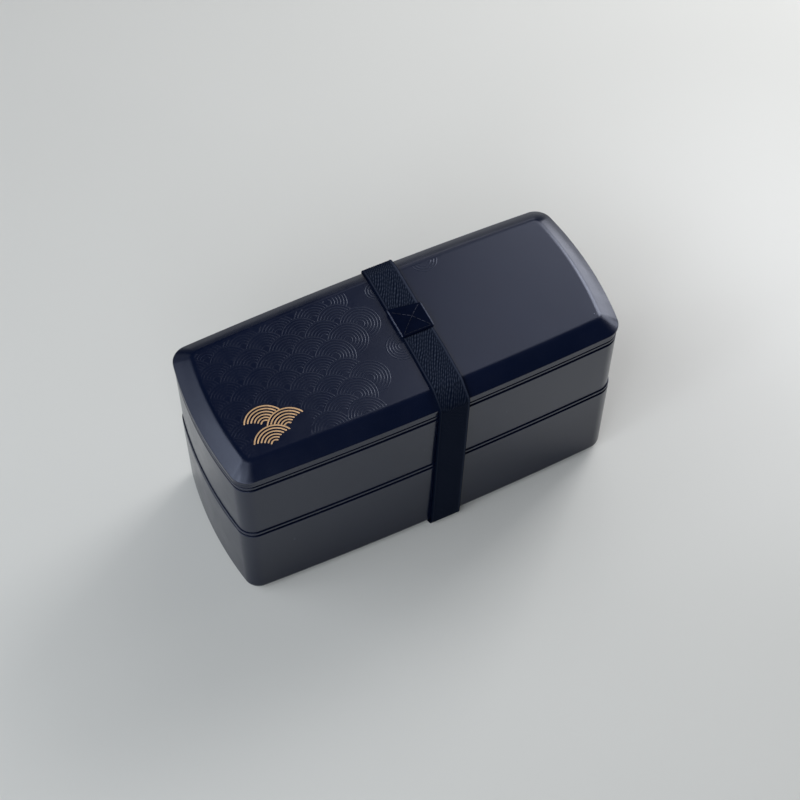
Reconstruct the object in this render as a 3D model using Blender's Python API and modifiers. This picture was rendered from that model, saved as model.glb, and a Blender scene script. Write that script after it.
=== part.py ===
"""Slim two-tier bento box: two nesting trays with sealed inner lids, a bevelled outer lid and an elastic band."""
import math

import bmesh
import bpy

# Outline of the box at its widest, seen from above: bowed ends and sides joined by round corners
LENGTH = 0.2000
WIDTH = 0.0838
END_BOW = 0.0049
SIDE_BOW = 0.0022
CORNER_RADIUS = 0.0089
LEAST_CORNER = 0.0012

# Running gap between pieces that rest on or stand beside each other
GAP = 0.0003

# Trays: heights from foot or shoulder to rim, and the section of the wall
LOWER_TRAY_HEIGHT = 0.0548
UPPER_TRAY_HEIGHT = 0.0403
RIM_INSET = 0.0005
RIM_WALL = 0.0021
RIM_BAND = 0.0014
RIM_ROUND = 0.0003
GROOVE_HEIGHT = 0.0017
GROOVE_DEPTH = 0.0008
WALL_INSET = 0.0005
DRAFT = math.radians(0.8)
MOUTH_DEPTH = 0.0040
LEDGE_WIDTH = 0.0010
BASE_THICKNESS = 0.0020
FLOOR_FILLET = 0.0040
BASE_FILLET = 0.0040
FOOT_WIDTH = 0.0035
FOOT_RECESS = 0.0008
NEST_FOOT_WIDTH = 0.0030
SHOULDER_ROUND = 0.0003

# Outer lid: a flat top plane, a straight bevel down to an overhanging lip, a skirt and a rib inside the mouth
LID_HEIGHT = 0.0102
BEVEL_RUN = 0.0081
BEVEL_DROP = 0.0049
TOP_CORNER = 0.0037
TOP_EDGE_ROUND = 0.0010
BEVEL_EDGE_ROUND = 0.0007
LIP_HEIGHT = 0.0010
LIP_OVERHANG = 0.0005
LID_WALL = 0.0020
LID_RIB_WALL = 0.0012

# Inner lids: a flange on the tray's ledge, a grooved skirt with a seal ring, and a pocket with a vent plug
FLANGE_THICKNESS = 0.0012
SKIRT_DEPTH = 0.0040
SKIRT_CLEARANCE = 0.0006
SKIRT_BACK_WALL = 0.0012
PANEL_RISE = 0.0008
PANEL_SHOULDER = 0.0006
SEAL_WIDTH = 0.0013
SEAL_HEIGHT = 0.0014
SEAL_LIP = 0.0004
SEAL_DROP = 0.0010
POCKET_RADIUS = 0.0120
POCKET_FLOOR_RADIUS = 0.0095
POCKET_DEPTH = 0.0044
PLUG_HEAD_RADIUS = 0.0065
PLUG_HEAD_THICKNESS = 0.0010
PLUG_STEM_RADIUS = 0.0025
PLUG_CATCH_RADIUS = 0.0040
PLUG_CATCH_THICKNESS = 0.0008
PLUG_GRIP_HEIGHT = 0.0004
PLUG_GRIP_LENGTH = 0.0080
PLUG_GRIP_WIDTH = 0.0020
PLUG_TRAVEL = 0.0020

# Dividers: an upright plate on a foot, free to slide along the tray
DIVIDER_THICKNESS = 0.0016
DIVIDER_FOOT_LENGTH = 0.0120
DIVIDER_FOOT_THICKNESS = 0.0014
DIVIDER_HEADROOM = 0.0024
DIVIDER_REST_X = 0.0280
DIVIDER_FARTHEST_X = 0.0630
DIVIDER_TOP_ROUND = 0.0030
DIVIDER_NOTCH_HALF_WIDTH = 0.0120
DIVIDER_NOTCH_DEPTH = 0.0040
EDGE_SOFTENING = 0.0003

# Elastic band round both trays and the lid, and the patch that is sewn over its lapped ends
STRAP_WIDTH = 0.0154
STRAP_THICKNESS = 0.0012
STRAP_CENTRE_X = 0.0089
STRAP_LEAN = 0.0035
STRAP_LEAN_START_Y = -0.0150
STRAP_BACK_DRIFT = 0.0011
STRAP_TOP_ROUND = 0.0030
STRAP_SIDE_ROUND = 0.0025
STRAP_BASE_ROUND = 0.0050
PATCH_LENGTH = 0.0160
PATCH_SIDE_MARGIN = 0.0003
PATCH_THICKNESS = 0.0010
PATCH_CENTRE_Y = 0.0042

# Steps along the arcs
END_STEPS = 3
CORNER_STEPS = 6
SIDE_STEPS = 2
FILLET_STEPS = 4
STRAP_ROUND_STEPS = 4
TURN_STEPS = 24

# Circles of the bowed end and the bowed side, each through its own bow
HALF_LENGTH = LENGTH / 2
HALF_WIDTH = WIDTH / 2
END_RADIUS = (HALF_WIDTH ** 2 + END_BOW ** 2) / (2 * END_BOW)
SIDE_RADIUS = ((HALF_LENGTH - END_BOW) ** 2 + SIDE_BOW ** 2) / (2 * SIDE_BOW)

# Insets of the nested faces, from the widest outline inwards
MOUTH_INSET = RIM_INSET + RIM_WALL
NEST_INSET = MOUTH_INSET + GAP
BORE_INSET = MOUTH_INSET + LEDGE_WIDTH
SEAL_INSET = BORE_INSET + GAP
SKIRT_INSET = BORE_INSET + SKIRT_CLEARANCE
SEAL_GROOVE_INSET = SEAL_INSET + SEAL_WIDTH + GAP
SKIRT_INNER_INSET = SEAL_GROOVE_INSET + SKIRT_BACK_WALL

# Heights of the seats, from the surface that the band lies on upwards
LOWER_FOOT_Z = STRAP_THICKNESS + GAP
LOWER_RIM_Z = LOWER_FOOT_Z + LOWER_TRAY_HEIGHT
NEST_DEPTH = MOUTH_DEPTH - GAP - FLANGE_THICKNESS - GAP
UPPER_SHOULDER_Z = LOWER_RIM_Z + GAP
UPPER_FOOT_Z = UPPER_SHOULDER_Z - NEST_DEPTH
UPPER_RIM_Z = UPPER_SHOULDER_Z + UPPER_TRAY_HEIGHT
LID_SKIRT_Z = UPPER_RIM_Z + GAP
LID_TOP_Z = LID_SKIRT_Z + LID_HEIGHT
FLANGE_BELOW_RIM = MOUTH_DEPTH - GAP

# The plug's catch hangs this far under the inner lid's flange, and the dividers end below it
POCKET_FLOOR_Z = FLANGE_THICKNESS + PANEL_RISE - POCKET_DEPTH
POCKET_BASE_Z = POCKET_FLOOR_Z - FLANGE_THICKNESS
PLUG_BASE_Z = POCKET_BASE_Z - GAP - PLUG_TRAVEL - PLUG_CATCH_THICKNESS


def circle_crossing(first, first_radius, second, second_radius):
    """The crossing point of two circles that lies on the side of +X and +Y."""
    dx = second[0] - first[0]
    dy = second[1] - first[1]
    apart = math.hypot(dx, dy)
    along = (apart ** 2 + first_radius ** 2 - second_radius ** 2) / (2 * apart)
    across = math.sqrt(first_radius ** 2 - along ** 2)
    ux, uy = dx / apart, dy / apart
    options = []
    for side in (-1, 1):
        options.append((first[0] + along * ux - side * across * uy, first[1] + along * uy + side * across * ux))
    return max(options, key=lambda point: point[0] + point[1])


def outline(inset, corner=None):
    """Closed outline parallel to the widest one: end arc, corner arc and side arc, mirrored to four quarters."""
    if corner is None:
        corner = max(CORNER_RADIUS - inset, LEAST_CORNER)
    end_centre = (HALF_LENGTH - END_RADIUS, 0.0)
    side_centre = (0.0, HALF_WIDTH - SIDE_RADIUS)
    end_radius = END_RADIUS - inset
    side_radius = SIDE_RADIUS - inset
    centre = circle_crossing(end_centre, end_radius - corner, side_centre, side_radius - corner)
    end_turn = math.atan2(centre[1] - end_centre[1], centre[0] - end_centre[0])
    side_turn = math.atan2(centre[1] - side_centre[1], centre[0] - side_centre[0])
    arcs = (
        (end_centre, end_radius, 0.0, end_turn, END_STEPS),
        (centre, corner, end_turn, side_turn, CORNER_STEPS),
        (side_centre, side_radius, side_turn, math.pi / 2, SIDE_STEPS),
    )
    quarter = []
    for (cx, cy), radius, start, stop, steps in arcs:
        for step in range(steps):
            turn = start + (stop - start) * step / steps
            quarter.append((cx + radius * math.cos(turn), cy + radius * math.sin(turn)))
    quarter.append((0.0, HALF_WIDTH - inset))
    ring = list(quarter)
    ring += [(-x, y) for x, y in reversed(quarter[:-1])]
    ring += [(-x, -y) for x, y in quarter[1:]]
    ring += [(x, -y) for x, y in reversed(quarter[1:-1])]
    return ring


def half_width_at(x, inset):
    """Half the width across the bowed sides at a place along the box."""
    return HALF_WIDTH - SIDE_RADIUS + math.sqrt((SIDE_RADIUS - inset) ** 2 - x ** 2)


def arc(centre, radius, start, stop, steps):
    """Points on an arc from start to stop, in degrees, both ends kept."""
    points = []
    for step in range(steps + 1):
        turn = math.radians(start + (stop - start) * step / steps)
        points.append((centre[0] + radius * math.cos(turn), centre[1] + radius * math.sin(turn)))
    return points


def link(collection, obj, parent, location):
    """Put an object in its collection, under its parent and at its place."""
    collection.objects.link(obj)
    obj.parent = parent
    obj.location = location
    return obj


def new_mesh(name, mesh_maker, sharp_degrees=32):
    """Fill a mesh from a bmesh, point its faces outwards and shade its round faces smooth."""
    bm = bmesh.new()
    mesh_maker(bm)
    bmesh.ops.recalc_face_normals(bm, faces=bm.faces)
    mesh = bpy.data.meshes.new(name)
    bm.to_mesh(mesh)
    bm.free()
    mesh.shade_smooth()
    mesh.set_sharp_from_angle(angle=math.radians(sharp_degrees))
    return mesh


def loft(name, profile, ring_closed=False):
    """Carry a profile of (inset, height) or (inset, height, corner) points round the outline of the box."""
    def make(bm):
        loops = []
        for point in profile:
            corner = point[2] if len(point) > 2 else None
            loops.append([bm.verts.new((x, y, point[1])) for x, y in outline(point[0], corner)])
        pairs = list(zip(loops, loops[1:]))
        if ring_closed:
            pairs.append((loops[-1], loops[0]))
        for one, other in pairs:
            for index in range(len(one)):
                after = (index + 1) % len(one)
                bm.faces.new((one[index], one[after], other[after], other[index]))
        if not ring_closed:
            bm.faces.new(loops[0])
            bm.faces.new(loops[-1])
    return new_mesh(name, make)


def tray_profile(floor, base, groove_top, rim_top):
    """Section of a tray from the underside, up the outer wall, over the rim and down the bore to the floor."""
    groove_bottom = groove_top - GROOVE_HEIGHT
    ledge = rim_top - MOUTH_DEPTH
    bore_at_fillet = BORE_INSET + math.tan(DRAFT) * (ledge - floor - FLOOR_FILLET)
    section = list(base)
    section += [
        (WALL_INSET, groove_bottom - RIM_ROUND),
        (WALL_INSET + RIM_ROUND, groove_bottom),
        (WALL_INSET + GROOVE_DEPTH, groove_bottom),
        (WALL_INSET + GROOVE_DEPTH, groove_top),
        (RIM_INSET + RIM_ROUND, groove_top),
        (RIM_INSET, groove_top + RIM_ROUND),
        (RIM_INSET, rim_top - RIM_ROUND),
        (RIM_INSET + RIM_ROUND, rim_top),
        (MOUTH_INSET - RIM_ROUND, rim_top),
        (MOUTH_INSET, rim_top - RIM_ROUND),
        (MOUTH_INSET, ledge),
        (BORE_INSET, ledge),
    ]
    fillet_centre = (bore_at_fillet + FLOOR_FILLET, floor + FLOOR_FILLET)
    section += arc(fillet_centre, FLOOR_FILLET, 180, 270, FILLET_STEPS)
    return section


def wall_inset_at(below_groove):
    """Inset of the drafted outer wall at a depth below the groove."""
    return WALL_INSET + math.tan(DRAFT) * below_groove


def lower_tray_mesh():
    """Deep tray with a round base edge and a flat foot band round a recessed underside."""
    groove_top = LOWER_TRAY_HEIGHT - RIM_BAND
    fall = groove_top - GROOVE_HEIGHT - BASE_FILLET
    edge_inset = wall_inset_at(fall)
    foot_outer = edge_inset + BASE_FILLET
    foot_inner = foot_outer + FOOT_WIDTH
    base = [
        (foot_inner + FOOT_RECESS, FOOT_RECESS),
        (foot_inner, 0.0),
    ]
    base += reversed(arc((foot_outer, BASE_FILLET), BASE_FILLET, 180, 270, FILLET_STEPS))
    floor = FOOT_RECESS + BASE_THICKNESS
    return loft("lower_tray", tray_profile(floor, base, groove_top, LOWER_TRAY_HEIGHT))


def upper_tray_mesh():
    """Shallower tray whose stepped foot drops into the mouth of the lower tray."""
    rim_top = NEST_DEPTH + UPPER_TRAY_HEIGHT
    groove_top = rim_top - RIM_BAND
    fall = groove_top - GROOVE_HEIGHT - NEST_DEPTH
    edge_inset = wall_inset_at(fall)
    foot_inner = NEST_INSET + NEST_FOOT_WIDTH
    recess = NEST_DEPTH - GAP
    base = [
        (foot_inner + RIM_ROUND, recess),
        (foot_inner, recess - RIM_ROUND),
        (foot_inner, RIM_ROUND),
        (foot_inner - RIM_ROUND, 0.0),
        (NEST_INSET + RIM_ROUND, 0.0),
        (NEST_INSET, RIM_ROUND),
        (NEST_INSET, NEST_DEPTH),
        (edge_inset + SHOULDER_ROUND, NEST_DEPTH),
        (edge_inset, NEST_DEPTH + SHOULDER_ROUND),
    ]
    floor = recess + BASE_THICKNESS
    return loft("upper_tray", tray_profile(floor, base, groove_top, rim_top))


def outer_lid_mesh():
    """Lid shell: top plane, soft edge, straight bevel, lip, skirt, and the rib that finds the tray's mouth."""
    top = LID_HEIGHT
    bevel_base = top - BEVEL_DROP
    run = math.hypot(BEVEL_RUN, BEVEL_DROP)
    ux, uz = BEVEL_RUN / run, BEVEL_DROP / run
    corner_change = (TOP_CORNER - CORNER_RADIUS) / BEVEL_RUN

    def on_bevel(inset):
        """Point on the bevel, its corners widening from the top plane's to the outline's."""
        return (inset, bevel_base + inset * BEVEL_DROP / BEVEL_RUN, CORNER_RADIUS + corner_change * inset)

    lip_base = bevel_base - BEVEL_EDGE_ROUND - LIP_HEIGHT
    skirt = LIP_OVERHANG
    rib_outer = NEST_INSET
    rib_inner = NEST_INSET + LID_RIB_WALL
    rib_base = -NEST_DEPTH
    soft_top = (BEVEL_RUN - ux * TOP_EDGE_ROUND / 3, top - uz * TOP_EDGE_ROUND / 3, TOP_CORNER)
    under_top = top - LID_WALL
    under_bevel = on_bevel(rib_inner)[1] - LID_WALL * run / BEVEL_RUN
    profile = [
        (BEVEL_RUN + TOP_EDGE_ROUND, top, TOP_CORNER - TOP_EDGE_ROUND / 2),
        soft_top,
        on_bevel(BEVEL_RUN - ux * TOP_EDGE_ROUND),
        on_bevel(ux * BEVEL_EDGE_ROUND),
        (BEVEL_EDGE_ROUND / 6, bevel_base - BEVEL_EDGE_ROUND / 6),
        (0.0, bevel_base - BEVEL_EDGE_ROUND),
        (0.0, lip_base + RIM_ROUND),
        (RIM_ROUND / 2, lip_base),
        (skirt, lip_base),
        (skirt, RIM_ROUND),
        (skirt + RIM_ROUND, 0.0),
        (rib_outer, 0.0),
        (rib_outer, rib_base + RIM_ROUND),
        (rib_outer + RIM_ROUND, rib_base),
        (rib_inner, rib_base),
        (rib_inner, under_bevel),
        (BEVEL_RUN + TOP_EDGE_ROUND, under_top, TOP_CORNER - TOP_EDGE_ROUND / 2),
    ]
    return loft("outer_lid", profile)


def inner_lid_mesh():
    """Inner lid: flange, skirt with the seal's groove, and a raised centre panel."""
    groove_top = -SEAL_DROP + GAP
    groove_base = groove_top - GAP - SEAL_HEIGHT - GAP
    panel_edge = SKIRT_INNER_INSET + PANEL_SHOULDER
    profile = [
        (panel_edge + PANEL_SHOULDER, FLANGE_THICKNESS + PANEL_RISE),
        (panel_edge, FLANGE_THICKNESS),
        (NEST_INSET + RIM_ROUND, FLANGE_THICKNESS),
        (NEST_INSET, FLANGE_THICKNESS - RIM_ROUND),
        (NEST_INSET, 0.0),
        (SKIRT_INSET, 0.0),
        (SKIRT_INSET, groove_top),
        (SEAL_GROOVE_INSET, groove_top),
        (SEAL_GROOVE_INSET, groove_base),
        (SKIRT_INSET, groove_base),
        (SKIRT_INSET, RIM_ROUND - SKIRT_DEPTH),
        (SKIRT_INSET + RIM_ROUND, -SKIRT_DEPTH),
        (SKIRT_INNER_INSET, -SKIRT_DEPTH),
        (SKIRT_INNER_INSET, 0.0),
        (panel_edge, 0.0),
        (panel_edge + PANEL_SHOULDER, PANEL_RISE),
    ]
    return loft("inner_lid", profile)


def seal_mesh():
    """Seal ring with a raised lip in the middle of its outer face."""
    outer = SEAL_INSET + SEAL_LIP
    inner = SEAL_INSET + SEAL_WIDTH
    top = -SEAL_DROP
    base = top - SEAL_HEIGHT
    middle = (top + base) / 2
    profile = [(outer, top), (SEAL_INSET, middle), (outer, base), (inner, base), (inner, top)]
    return loft("lid_seal", profile, ring_closed=True)


def turned(name, profile, collection, parent, location):
    """Turn a profile of (radius, height) points, listed from the top down its outer side, about the Z axis."""
    mesh = bpy.data.meshes.new(name)
    edges = [(index, index + 1) for index in range(len(profile) - 1)]
    mesh.from_pydata([(radius, 0.0, height) for radius, height in profile], edges, [])
    obj = link(collection, bpy.data.objects.new(name, mesh), parent, location)
    screw = obj.modifiers.new("turn", "SCREW")
    screw.steps = TURN_STEPS
    screw.render_steps = TURN_STEPS
    screw.use_merge_vertices = True
    screw.merge_threshold = 0.00001
    screw.use_smooth_shade = True
    return obj


def boolean(obj, other, operation):
    """Add an exact Boolean with another object."""
    modifier = obj.modifiers.new(operation.lower(), "BOOLEAN")
    modifier.operation = operation
    modifier.solver = "EXACT"
    modifier.object = other


def soft_edges(obj, width, segments=1):
    """Round an object's sharp edges a little."""
    bevel = obj.modifiers.new("soft_edges", "BEVEL")
    bevel.width = width
    bevel.segments = segments
    bevel.limit_method = "ANGLE"
    bevel.angle_limit = math.radians(40)


def block(name, collection, parent, centre, size):
    """A box from a cube, with its size applied."""
    def make(bm):
        bmesh.ops.create_cube(bm, size=1.0)
        bmesh.ops.scale(bm, vec=size, verts=bm.verts)
    return link(collection, bpy.data.objects.new(name, new_mesh(name, make)), parent, centre)


def vent_tools(cutters, parent):
    """Shapes that turn a plain inner lid into one with a vent pocket: the boss under it, the pocket and the hole."""
    panel = FLANGE_THICKNESS + PANEL_RISE
    wall = FLANGE_THICKNESS
    clear = 0.001
    boss = turned("vent_boss", [
        (0.0, PANEL_RISE + wall / 2),
        (POCKET_RADIUS + wall, PANEL_RISE + wall / 2),
        (POCKET_FLOOR_RADIUS + wall, POCKET_BASE_Z),
        (0.0, POCKET_BASE_Z),
    ], cutters, parent, (0, 0, 0))
    pocket = turned("vent_pocket", [
        (0.0, panel + clear),
        (POCKET_RADIUS, panel + clear),
        (POCKET_RADIUS, panel),
        (POCKET_FLOOR_RADIUS, POCKET_FLOOR_Z),
        (0.0, POCKET_FLOOR_Z),
    ], cutters, parent, (0, 0, 0))
    hole = turned("vent_hole", [
        (0.0, POCKET_FLOOR_Z + clear),
        (PLUG_STEM_RADIUS + GAP, POCKET_FLOOR_Z + clear),
        (PLUG_STEM_RADIUS + GAP, POCKET_BASE_Z - clear),
        (0.0, POCKET_BASE_Z - clear),
    ], cutters, parent, (0, 0, 0))
    return boss, pocket, hole


def inner_lid(name, mesh, parts, cutters, body):
    """One inner lid with its vent pocket, on its body's empty."""
    obj = link(parts, bpy.data.objects.new(name, mesh), body, (0, 0, 0))
    boss, pocket, hole = vent_tools(cutters, body)
    boolean(obj, boss, "UNION")
    boolean(obj, pocket, "DIFFERENCE")
    boolean(obj, hole, "DIFFERENCE")
    return obj


def vent_plug(name, parts, cutters, body):
    """Soft plug: a head with a grip, a stem through the pocket floor and a catch that stops it coming out."""
    head_base = POCKET_FLOOR_Z + GAP
    head_top = head_base + PLUG_HEAD_THICKNESS
    obj = turned(name, [
        (0.0, head_top),
        (PLUG_HEAD_RADIUS - EDGE_SOFTENING, head_top),
        (PLUG_HEAD_RADIUS, head_top - EDGE_SOFTENING),
        (PLUG_HEAD_RADIUS, head_base),
        (PLUG_STEM_RADIUS, head_base),
        (PLUG_STEM_RADIUS, PLUG_BASE_Z + PLUG_CATCH_THICKNESS),
        (PLUG_CATCH_RADIUS, PLUG_BASE_Z + PLUG_CATCH_THICKNESS),
        (PLUG_STEM_RADIUS, PLUG_BASE_Z),
        (0.0, PLUG_BASE_Z),
    ], parts, body, (0, 0, 0))
    height = PLUG_GRIP_HEIGHT + PLUG_HEAD_THICKNESS / 2
    grip = block(name + "_grip", cutters, body, (0, 0, head_top + PLUG_GRIP_HEIGHT - height / 2),
                 (PLUG_GRIP_LENGTH, PLUG_GRIP_WIDTH, height))
    boolean(obj, grip, "UNION")
    return obj


def divider_outline(height, ledge_above_floor):
    """Upright outline across the tray: round lower corners, drafted sides and a finger notch in the top edge."""
    radius = FLOOR_FILLET - GAP
    slope = math.tan(DRAFT)
    foot_inset = BORE_INSET + slope * (ledge_above_floor - FLOOR_FILLET) + GAP
    foot_half = half_width_at(DIVIDER_FARTHEST_X, foot_inset)
    top_half = foot_half + slope * (height - FLOOR_FILLET)
    half = arc((foot_half - radius, radius), radius, 270, 360, FILLET_STEPS)
    half += arc((top_half - DIVIDER_TOP_ROUND, height - DIVIDER_TOP_ROUND), DIVIDER_TOP_ROUND, 0, 90, FILLET_STEPS)
    notch = []
    for step in range(2 * FILLET_STEPS + 1):
        share = step / (2 * FILLET_STEPS)
        depth = DIVIDER_NOTCH_DEPTH * (1 - math.cos(math.pi * share)) / 2
        notch.append((DIVIDER_NOTCH_HALF_WIDTH * (1 - share), height - depth))
    half += notch[:-1]
    middle = [(0.0, height - DIVIDER_NOTCH_DEPTH)]
    return half + middle + [(-y, z) for y, z in reversed(half)], foot_half


def divider(name, parts, cutters, body, floor_z, catch_z, ledge_z):
    """Sliding partition: a plate that follows the tray's section, standing on a flat foot."""
    height = catch_z - DIVIDER_HEADROOM - floor_z - GAP
    points, foot_half = divider_outline(height, ledge_z - floor_z)

    def make(bm):
        face = bm.faces.new([bm.verts.new((-DIVIDER_THICKNESS / 2, y, z)) for y, z in points])
        grown = bmesh.ops.extrude_face_region(bm, geom=[face])
        moved = [item for item in grown["geom"] if isinstance(item, bmesh.types.BMVert)]
        bmesh.ops.translate(bm, vec=(DIVIDER_THICKNESS, 0, 0), verts=moved)

    obj = link(parts, bpy.data.objects.new(name, new_mesh(name, make)), body, (0, 0, 0))
    foot_size = (DIVIDER_FOOT_LENGTH, 2 * (foot_half - FLOOR_FILLET), DIVIDER_FOOT_THICKNESS)
    foot = block(name + "_foot", cutters, body, (0, 0, DIVIDER_FOOT_THICKNESS / 2), foot_size)
    soft_edges(foot, EDGE_SOFTENING)
    boolean(obj, foot, "UNION")
    return obj


def rounded_path(corners):
    """Closed path with round corners: each corner is (y, z, radius), listed anticlockwise round a convex shape."""
    path = []
    for index, (y, z, radius) in enumerate(corners):
        before = corners[index - 1]
        after = corners[(index + 1) % len(corners)]
        ay, az = before[0] - y, before[1] - z
        by, bz = after[0] - y, after[1] - z
        a_length, b_length = math.hypot(ay, az), math.hypot(by, bz)
        ay, az, by, bz = ay / a_length, az / a_length, by / b_length, bz / b_length
        half_angle = math.acos(max(-1.0, min(1.0, ay * by + az * bz))) / 2
        my, mz = ay + by, az + bz
        m_length = math.hypot(my, mz)
        centre_y = y + my / m_length * radius / math.sin(half_angle)
        centre_z = z + mz / m_length * radius / math.sin(half_angle)
        reach = radius / math.tan(half_angle)
        start = math.atan2(z + az * reach - centre_z, y + ay * reach - centre_y)
        sweep = math.pi - 2 * half_angle
        for step in range(STRAP_ROUND_STEPS + 1):
            turn = start + sweep * step / STRAP_ROUND_STEPS
            path.append((centre_y + radius * math.cos(turn), centre_z + radius * math.sin(turn)))
    return path


def strap_path():
    """Inner face of the band in the YZ plane: over the top, down both bevels, straight down and under the foot."""
    side = HALF_WIDTH + GAP
    top = LID_TOP_Z + GAP
    run = math.hypot(BEVEL_RUN, BEVEL_DROP)
    top_half = HALF_WIDTH - BEVEL_RUN + GAP * (run - BEVEL_RUN) / BEVEL_DROP
    shoulder = LID_TOP_Z - BEVEL_DROP + GAP * (run - BEVEL_DROP) / BEVEL_RUN
    base = LOWER_FOOT_Z - GAP
    return rounded_path([
        (top_half, top, STRAP_TOP_ROUND),
        (-top_half, top, STRAP_TOP_ROUND),
        (-side, shoulder, STRAP_SIDE_ROUND),
        (-side, base, STRAP_BASE_ROUND),
        (side, base, STRAP_BASE_ROUND),
        (side, shoulder, STRAP_SIDE_ROUND),
    ])


def strap_lean(path):
    """Shift along X at each point: the band drifts as it comes down the front, and the other way at the back."""
    base = LOWER_FOOT_Z - GAP
    lowest_front = min(range(len(path)), key=lambda i: (abs(path[i][1] - base) > GAP / 10, path[i][0]))
    travelled = [0.0]
    for one, other in zip(path, path[1:]):
        travelled.append(travelled[-1] + math.dist(one, other))
    start = next(i for i in range(len(path)) if path[i][0] < STRAP_LEAN_START_Y)
    begin = travelled[start] - (STRAP_LEAN_START_Y - path[start][0])
    length = travelled[lowest_front] - begin
    shifts = [-STRAP_LEAN * max(0.0, (way - begin) / length) for way in travelled[:lowest_front + 1]]
    return shifts + [STRAP_BACK_DRIFT] * (len(path) - len(shifts))


def strap_band(parts, body):
    """Closed ribbon thickened outwards."""
    path = strap_path()
    shifts = strap_lean(path)

    def make(bm):
        rows = []
        for (y, z), shift in zip(path, shifts):
            centre = STRAP_CENTRE_X + shift
            rows.append([bm.verts.new((centre + side * STRAP_WIDTH / 2, y, z)) for side in (-1, 1)])
        for index, row in enumerate(rows):
            following = rows[(index + 1) % len(rows)]
            bm.faces.new((row[0], row[1], following[1], following[0]))

    obj = link(parts, bpy.data.objects.new("strap_band", new_mesh("strap_band", make)), body, (0, 0, 0))
    thicken = obj.modifiers.new("webbing_thickness", "SOLIDIFY")
    thicken.thickness = STRAP_THICKNESS
    thicken.offset = 1.0
    thicken.use_even_offset = True
    return obj


def strap_patch(parts, body):
    """Square patch sewn over the lapped ends of the band, on the top plane."""
    width = STRAP_WIDTH + 2 * PATCH_SIDE_MARGIN
    height = LID_TOP_Z + GAP + STRAP_THICKNESS + GAP + PATCH_THICKNESS / 2
    obj = block("strap_patch", parts, body, (STRAP_CENTRE_X, PATCH_CENTRE_Y, height),
                (width, PATCH_LENGTH, PATCH_THICKNESS))
    soft_edges(obj, EDGE_SOFTENING)
    return obj


def plain_material(name, colour, roughness, metallic=0.0):
    """A Principled material of one colour."""
    material = bpy.data.materials.new(name)
    material.use_nodes = True
    shader = material.node_tree.nodes["Principled BSDF"]
    shader.inputs["Base Color"].default_value = (*colour, 1.0)
    shader.inputs["Roughness"].default_value = roughness
    shader.inputs["Metallic"].default_value = metallic
    return material


def body_empty(name, collection, parent, location):
    """Empty that carries one moving body, placed on its joint's axis."""
    return link(collection, bpy.data.objects.new(name, None), parent, location)


def main():
    """Clear the scene and build every piece at its place."""
    for obj in list(bpy.data.objects):
        bpy.data.objects.remove(obj)
    parts = bpy.data.collections.new("bento_box")
    cutters = bpy.data.collections.new("cutters")
    bpy.context.scene.collection.children.link(parts)
    bpy.context.scene.collection.children.link(cutters)

    base = body_empty("base_body", parts, None, (0, 0, 0))
    lower_lid = body_empty("lower_inner_lid_body", parts, base, (0, 0, LOWER_RIM_Z - FLANGE_BELOW_RIM))
    upper = body_empty("upper_tray_body", parts, base, (0, 0, UPPER_FOOT_Z))
    upper_lid = body_empty("upper_inner_lid_body", parts, base, (0, 0, UPPER_RIM_Z - FLANGE_BELOW_RIM))
    lid = body_empty("outer_lid_body", parts, base, (0, 0, LID_SKIRT_Z))

    lower_floor = LOWER_FOOT_Z + FOOT_RECESS + BASE_THICKNESS
    upper_floor = UPPER_SHOULDER_Z - GAP + BASE_THICKNESS
    lower_slide = body_empty("lower_divider_body", parts, base, (DIVIDER_REST_X, 0, lower_floor + GAP))
    upper_slide = body_empty("upper_divider_body", parts, base, (DIVIDER_REST_X, 0, upper_floor + GAP))

    tray = link(parts, bpy.data.objects.new("lower_tray", lower_tray_mesh()), base, (0, 0, LOWER_FOOT_Z))
    top_tray = link(parts, bpy.data.objects.new("upper_tray", upper_tray_mesh()), upper, (0, 0, 0))
    cover = link(parts, bpy.data.objects.new("outer_lid", outer_lid_mesh()), lid, (0, 0, 0))

    lid_mesh = inner_lid_mesh()
    ring_mesh = seal_mesh()
    lids, rings, plugs = [], [], []
    for level, body in (("lower", lower_lid), ("upper", upper_lid)):
        lids.append(inner_lid(level + "_inner_lid", lid_mesh, parts, cutters, body))
        ring = bpy.data.objects.new(level + "_lid_seal", ring_mesh)
        rings.append(link(parts, ring, body, (0, 0, 0)))
        plugs.append(vent_plug(level + "_vent_plug", parts, cutters, body))

    dividers = []
    for level, body, floor_z, rim_z in (("lower", lower_slide, lower_floor, LOWER_RIM_Z),
                                        ("upper", upper_slide, upper_floor, UPPER_RIM_Z)):
        catch_z = rim_z - FLANGE_BELOW_RIM + PLUG_BASE_Z
        ledge_z = rim_z - MOUTH_DEPTH
        dividers.append(divider(level + "_divider", parts, cutters, body, floor_z, catch_z, ledge_z))

    band = strap_band(parts, base)
    patch = strap_patch(parts, base)

    navy = plain_material("navy_plastic", (0.024, 0.028, 0.045), 0.38)
    grey = plain_material("grey_plastic", (0.20, 0.21, 0.23), 0.45)
    rubber = plain_material("grey_rubber", (0.33, 0.34, 0.36), 0.60)
    webbing = plain_material("black_webbing", (0.006, 0.008, 0.012), 0.90)
    finishes = (
        (navy, [tray, top_tray, cover] + dividers),
        (grey, lids),
        (rubber, rings + plugs),
        (webbing, [band, patch]),
    )
    for material, objects in finishes:
        for obj in objects:
            if not obj.data.materials:
                obj.data.materials.append(material)

    for cutter in cutters.objects:
        cutter.hide_render = True
        cutter.display_type = "WIRE"


main()
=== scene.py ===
"""Looks of the slim two-tier bento box: moulded shells, wave relief and gilding, elastic band, finishes and studio.

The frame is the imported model's: +X along the box, +Y to the back, +Z up. Lengths are in metres unless mm is said.
"""

import logging
import math
from dataclasses import dataclass, field
from enum import Enum
from typing import ClassVar, Optional, Sequence

import bmesh
import bpy
import numpy as np
from mathutils import Matrix


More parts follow.
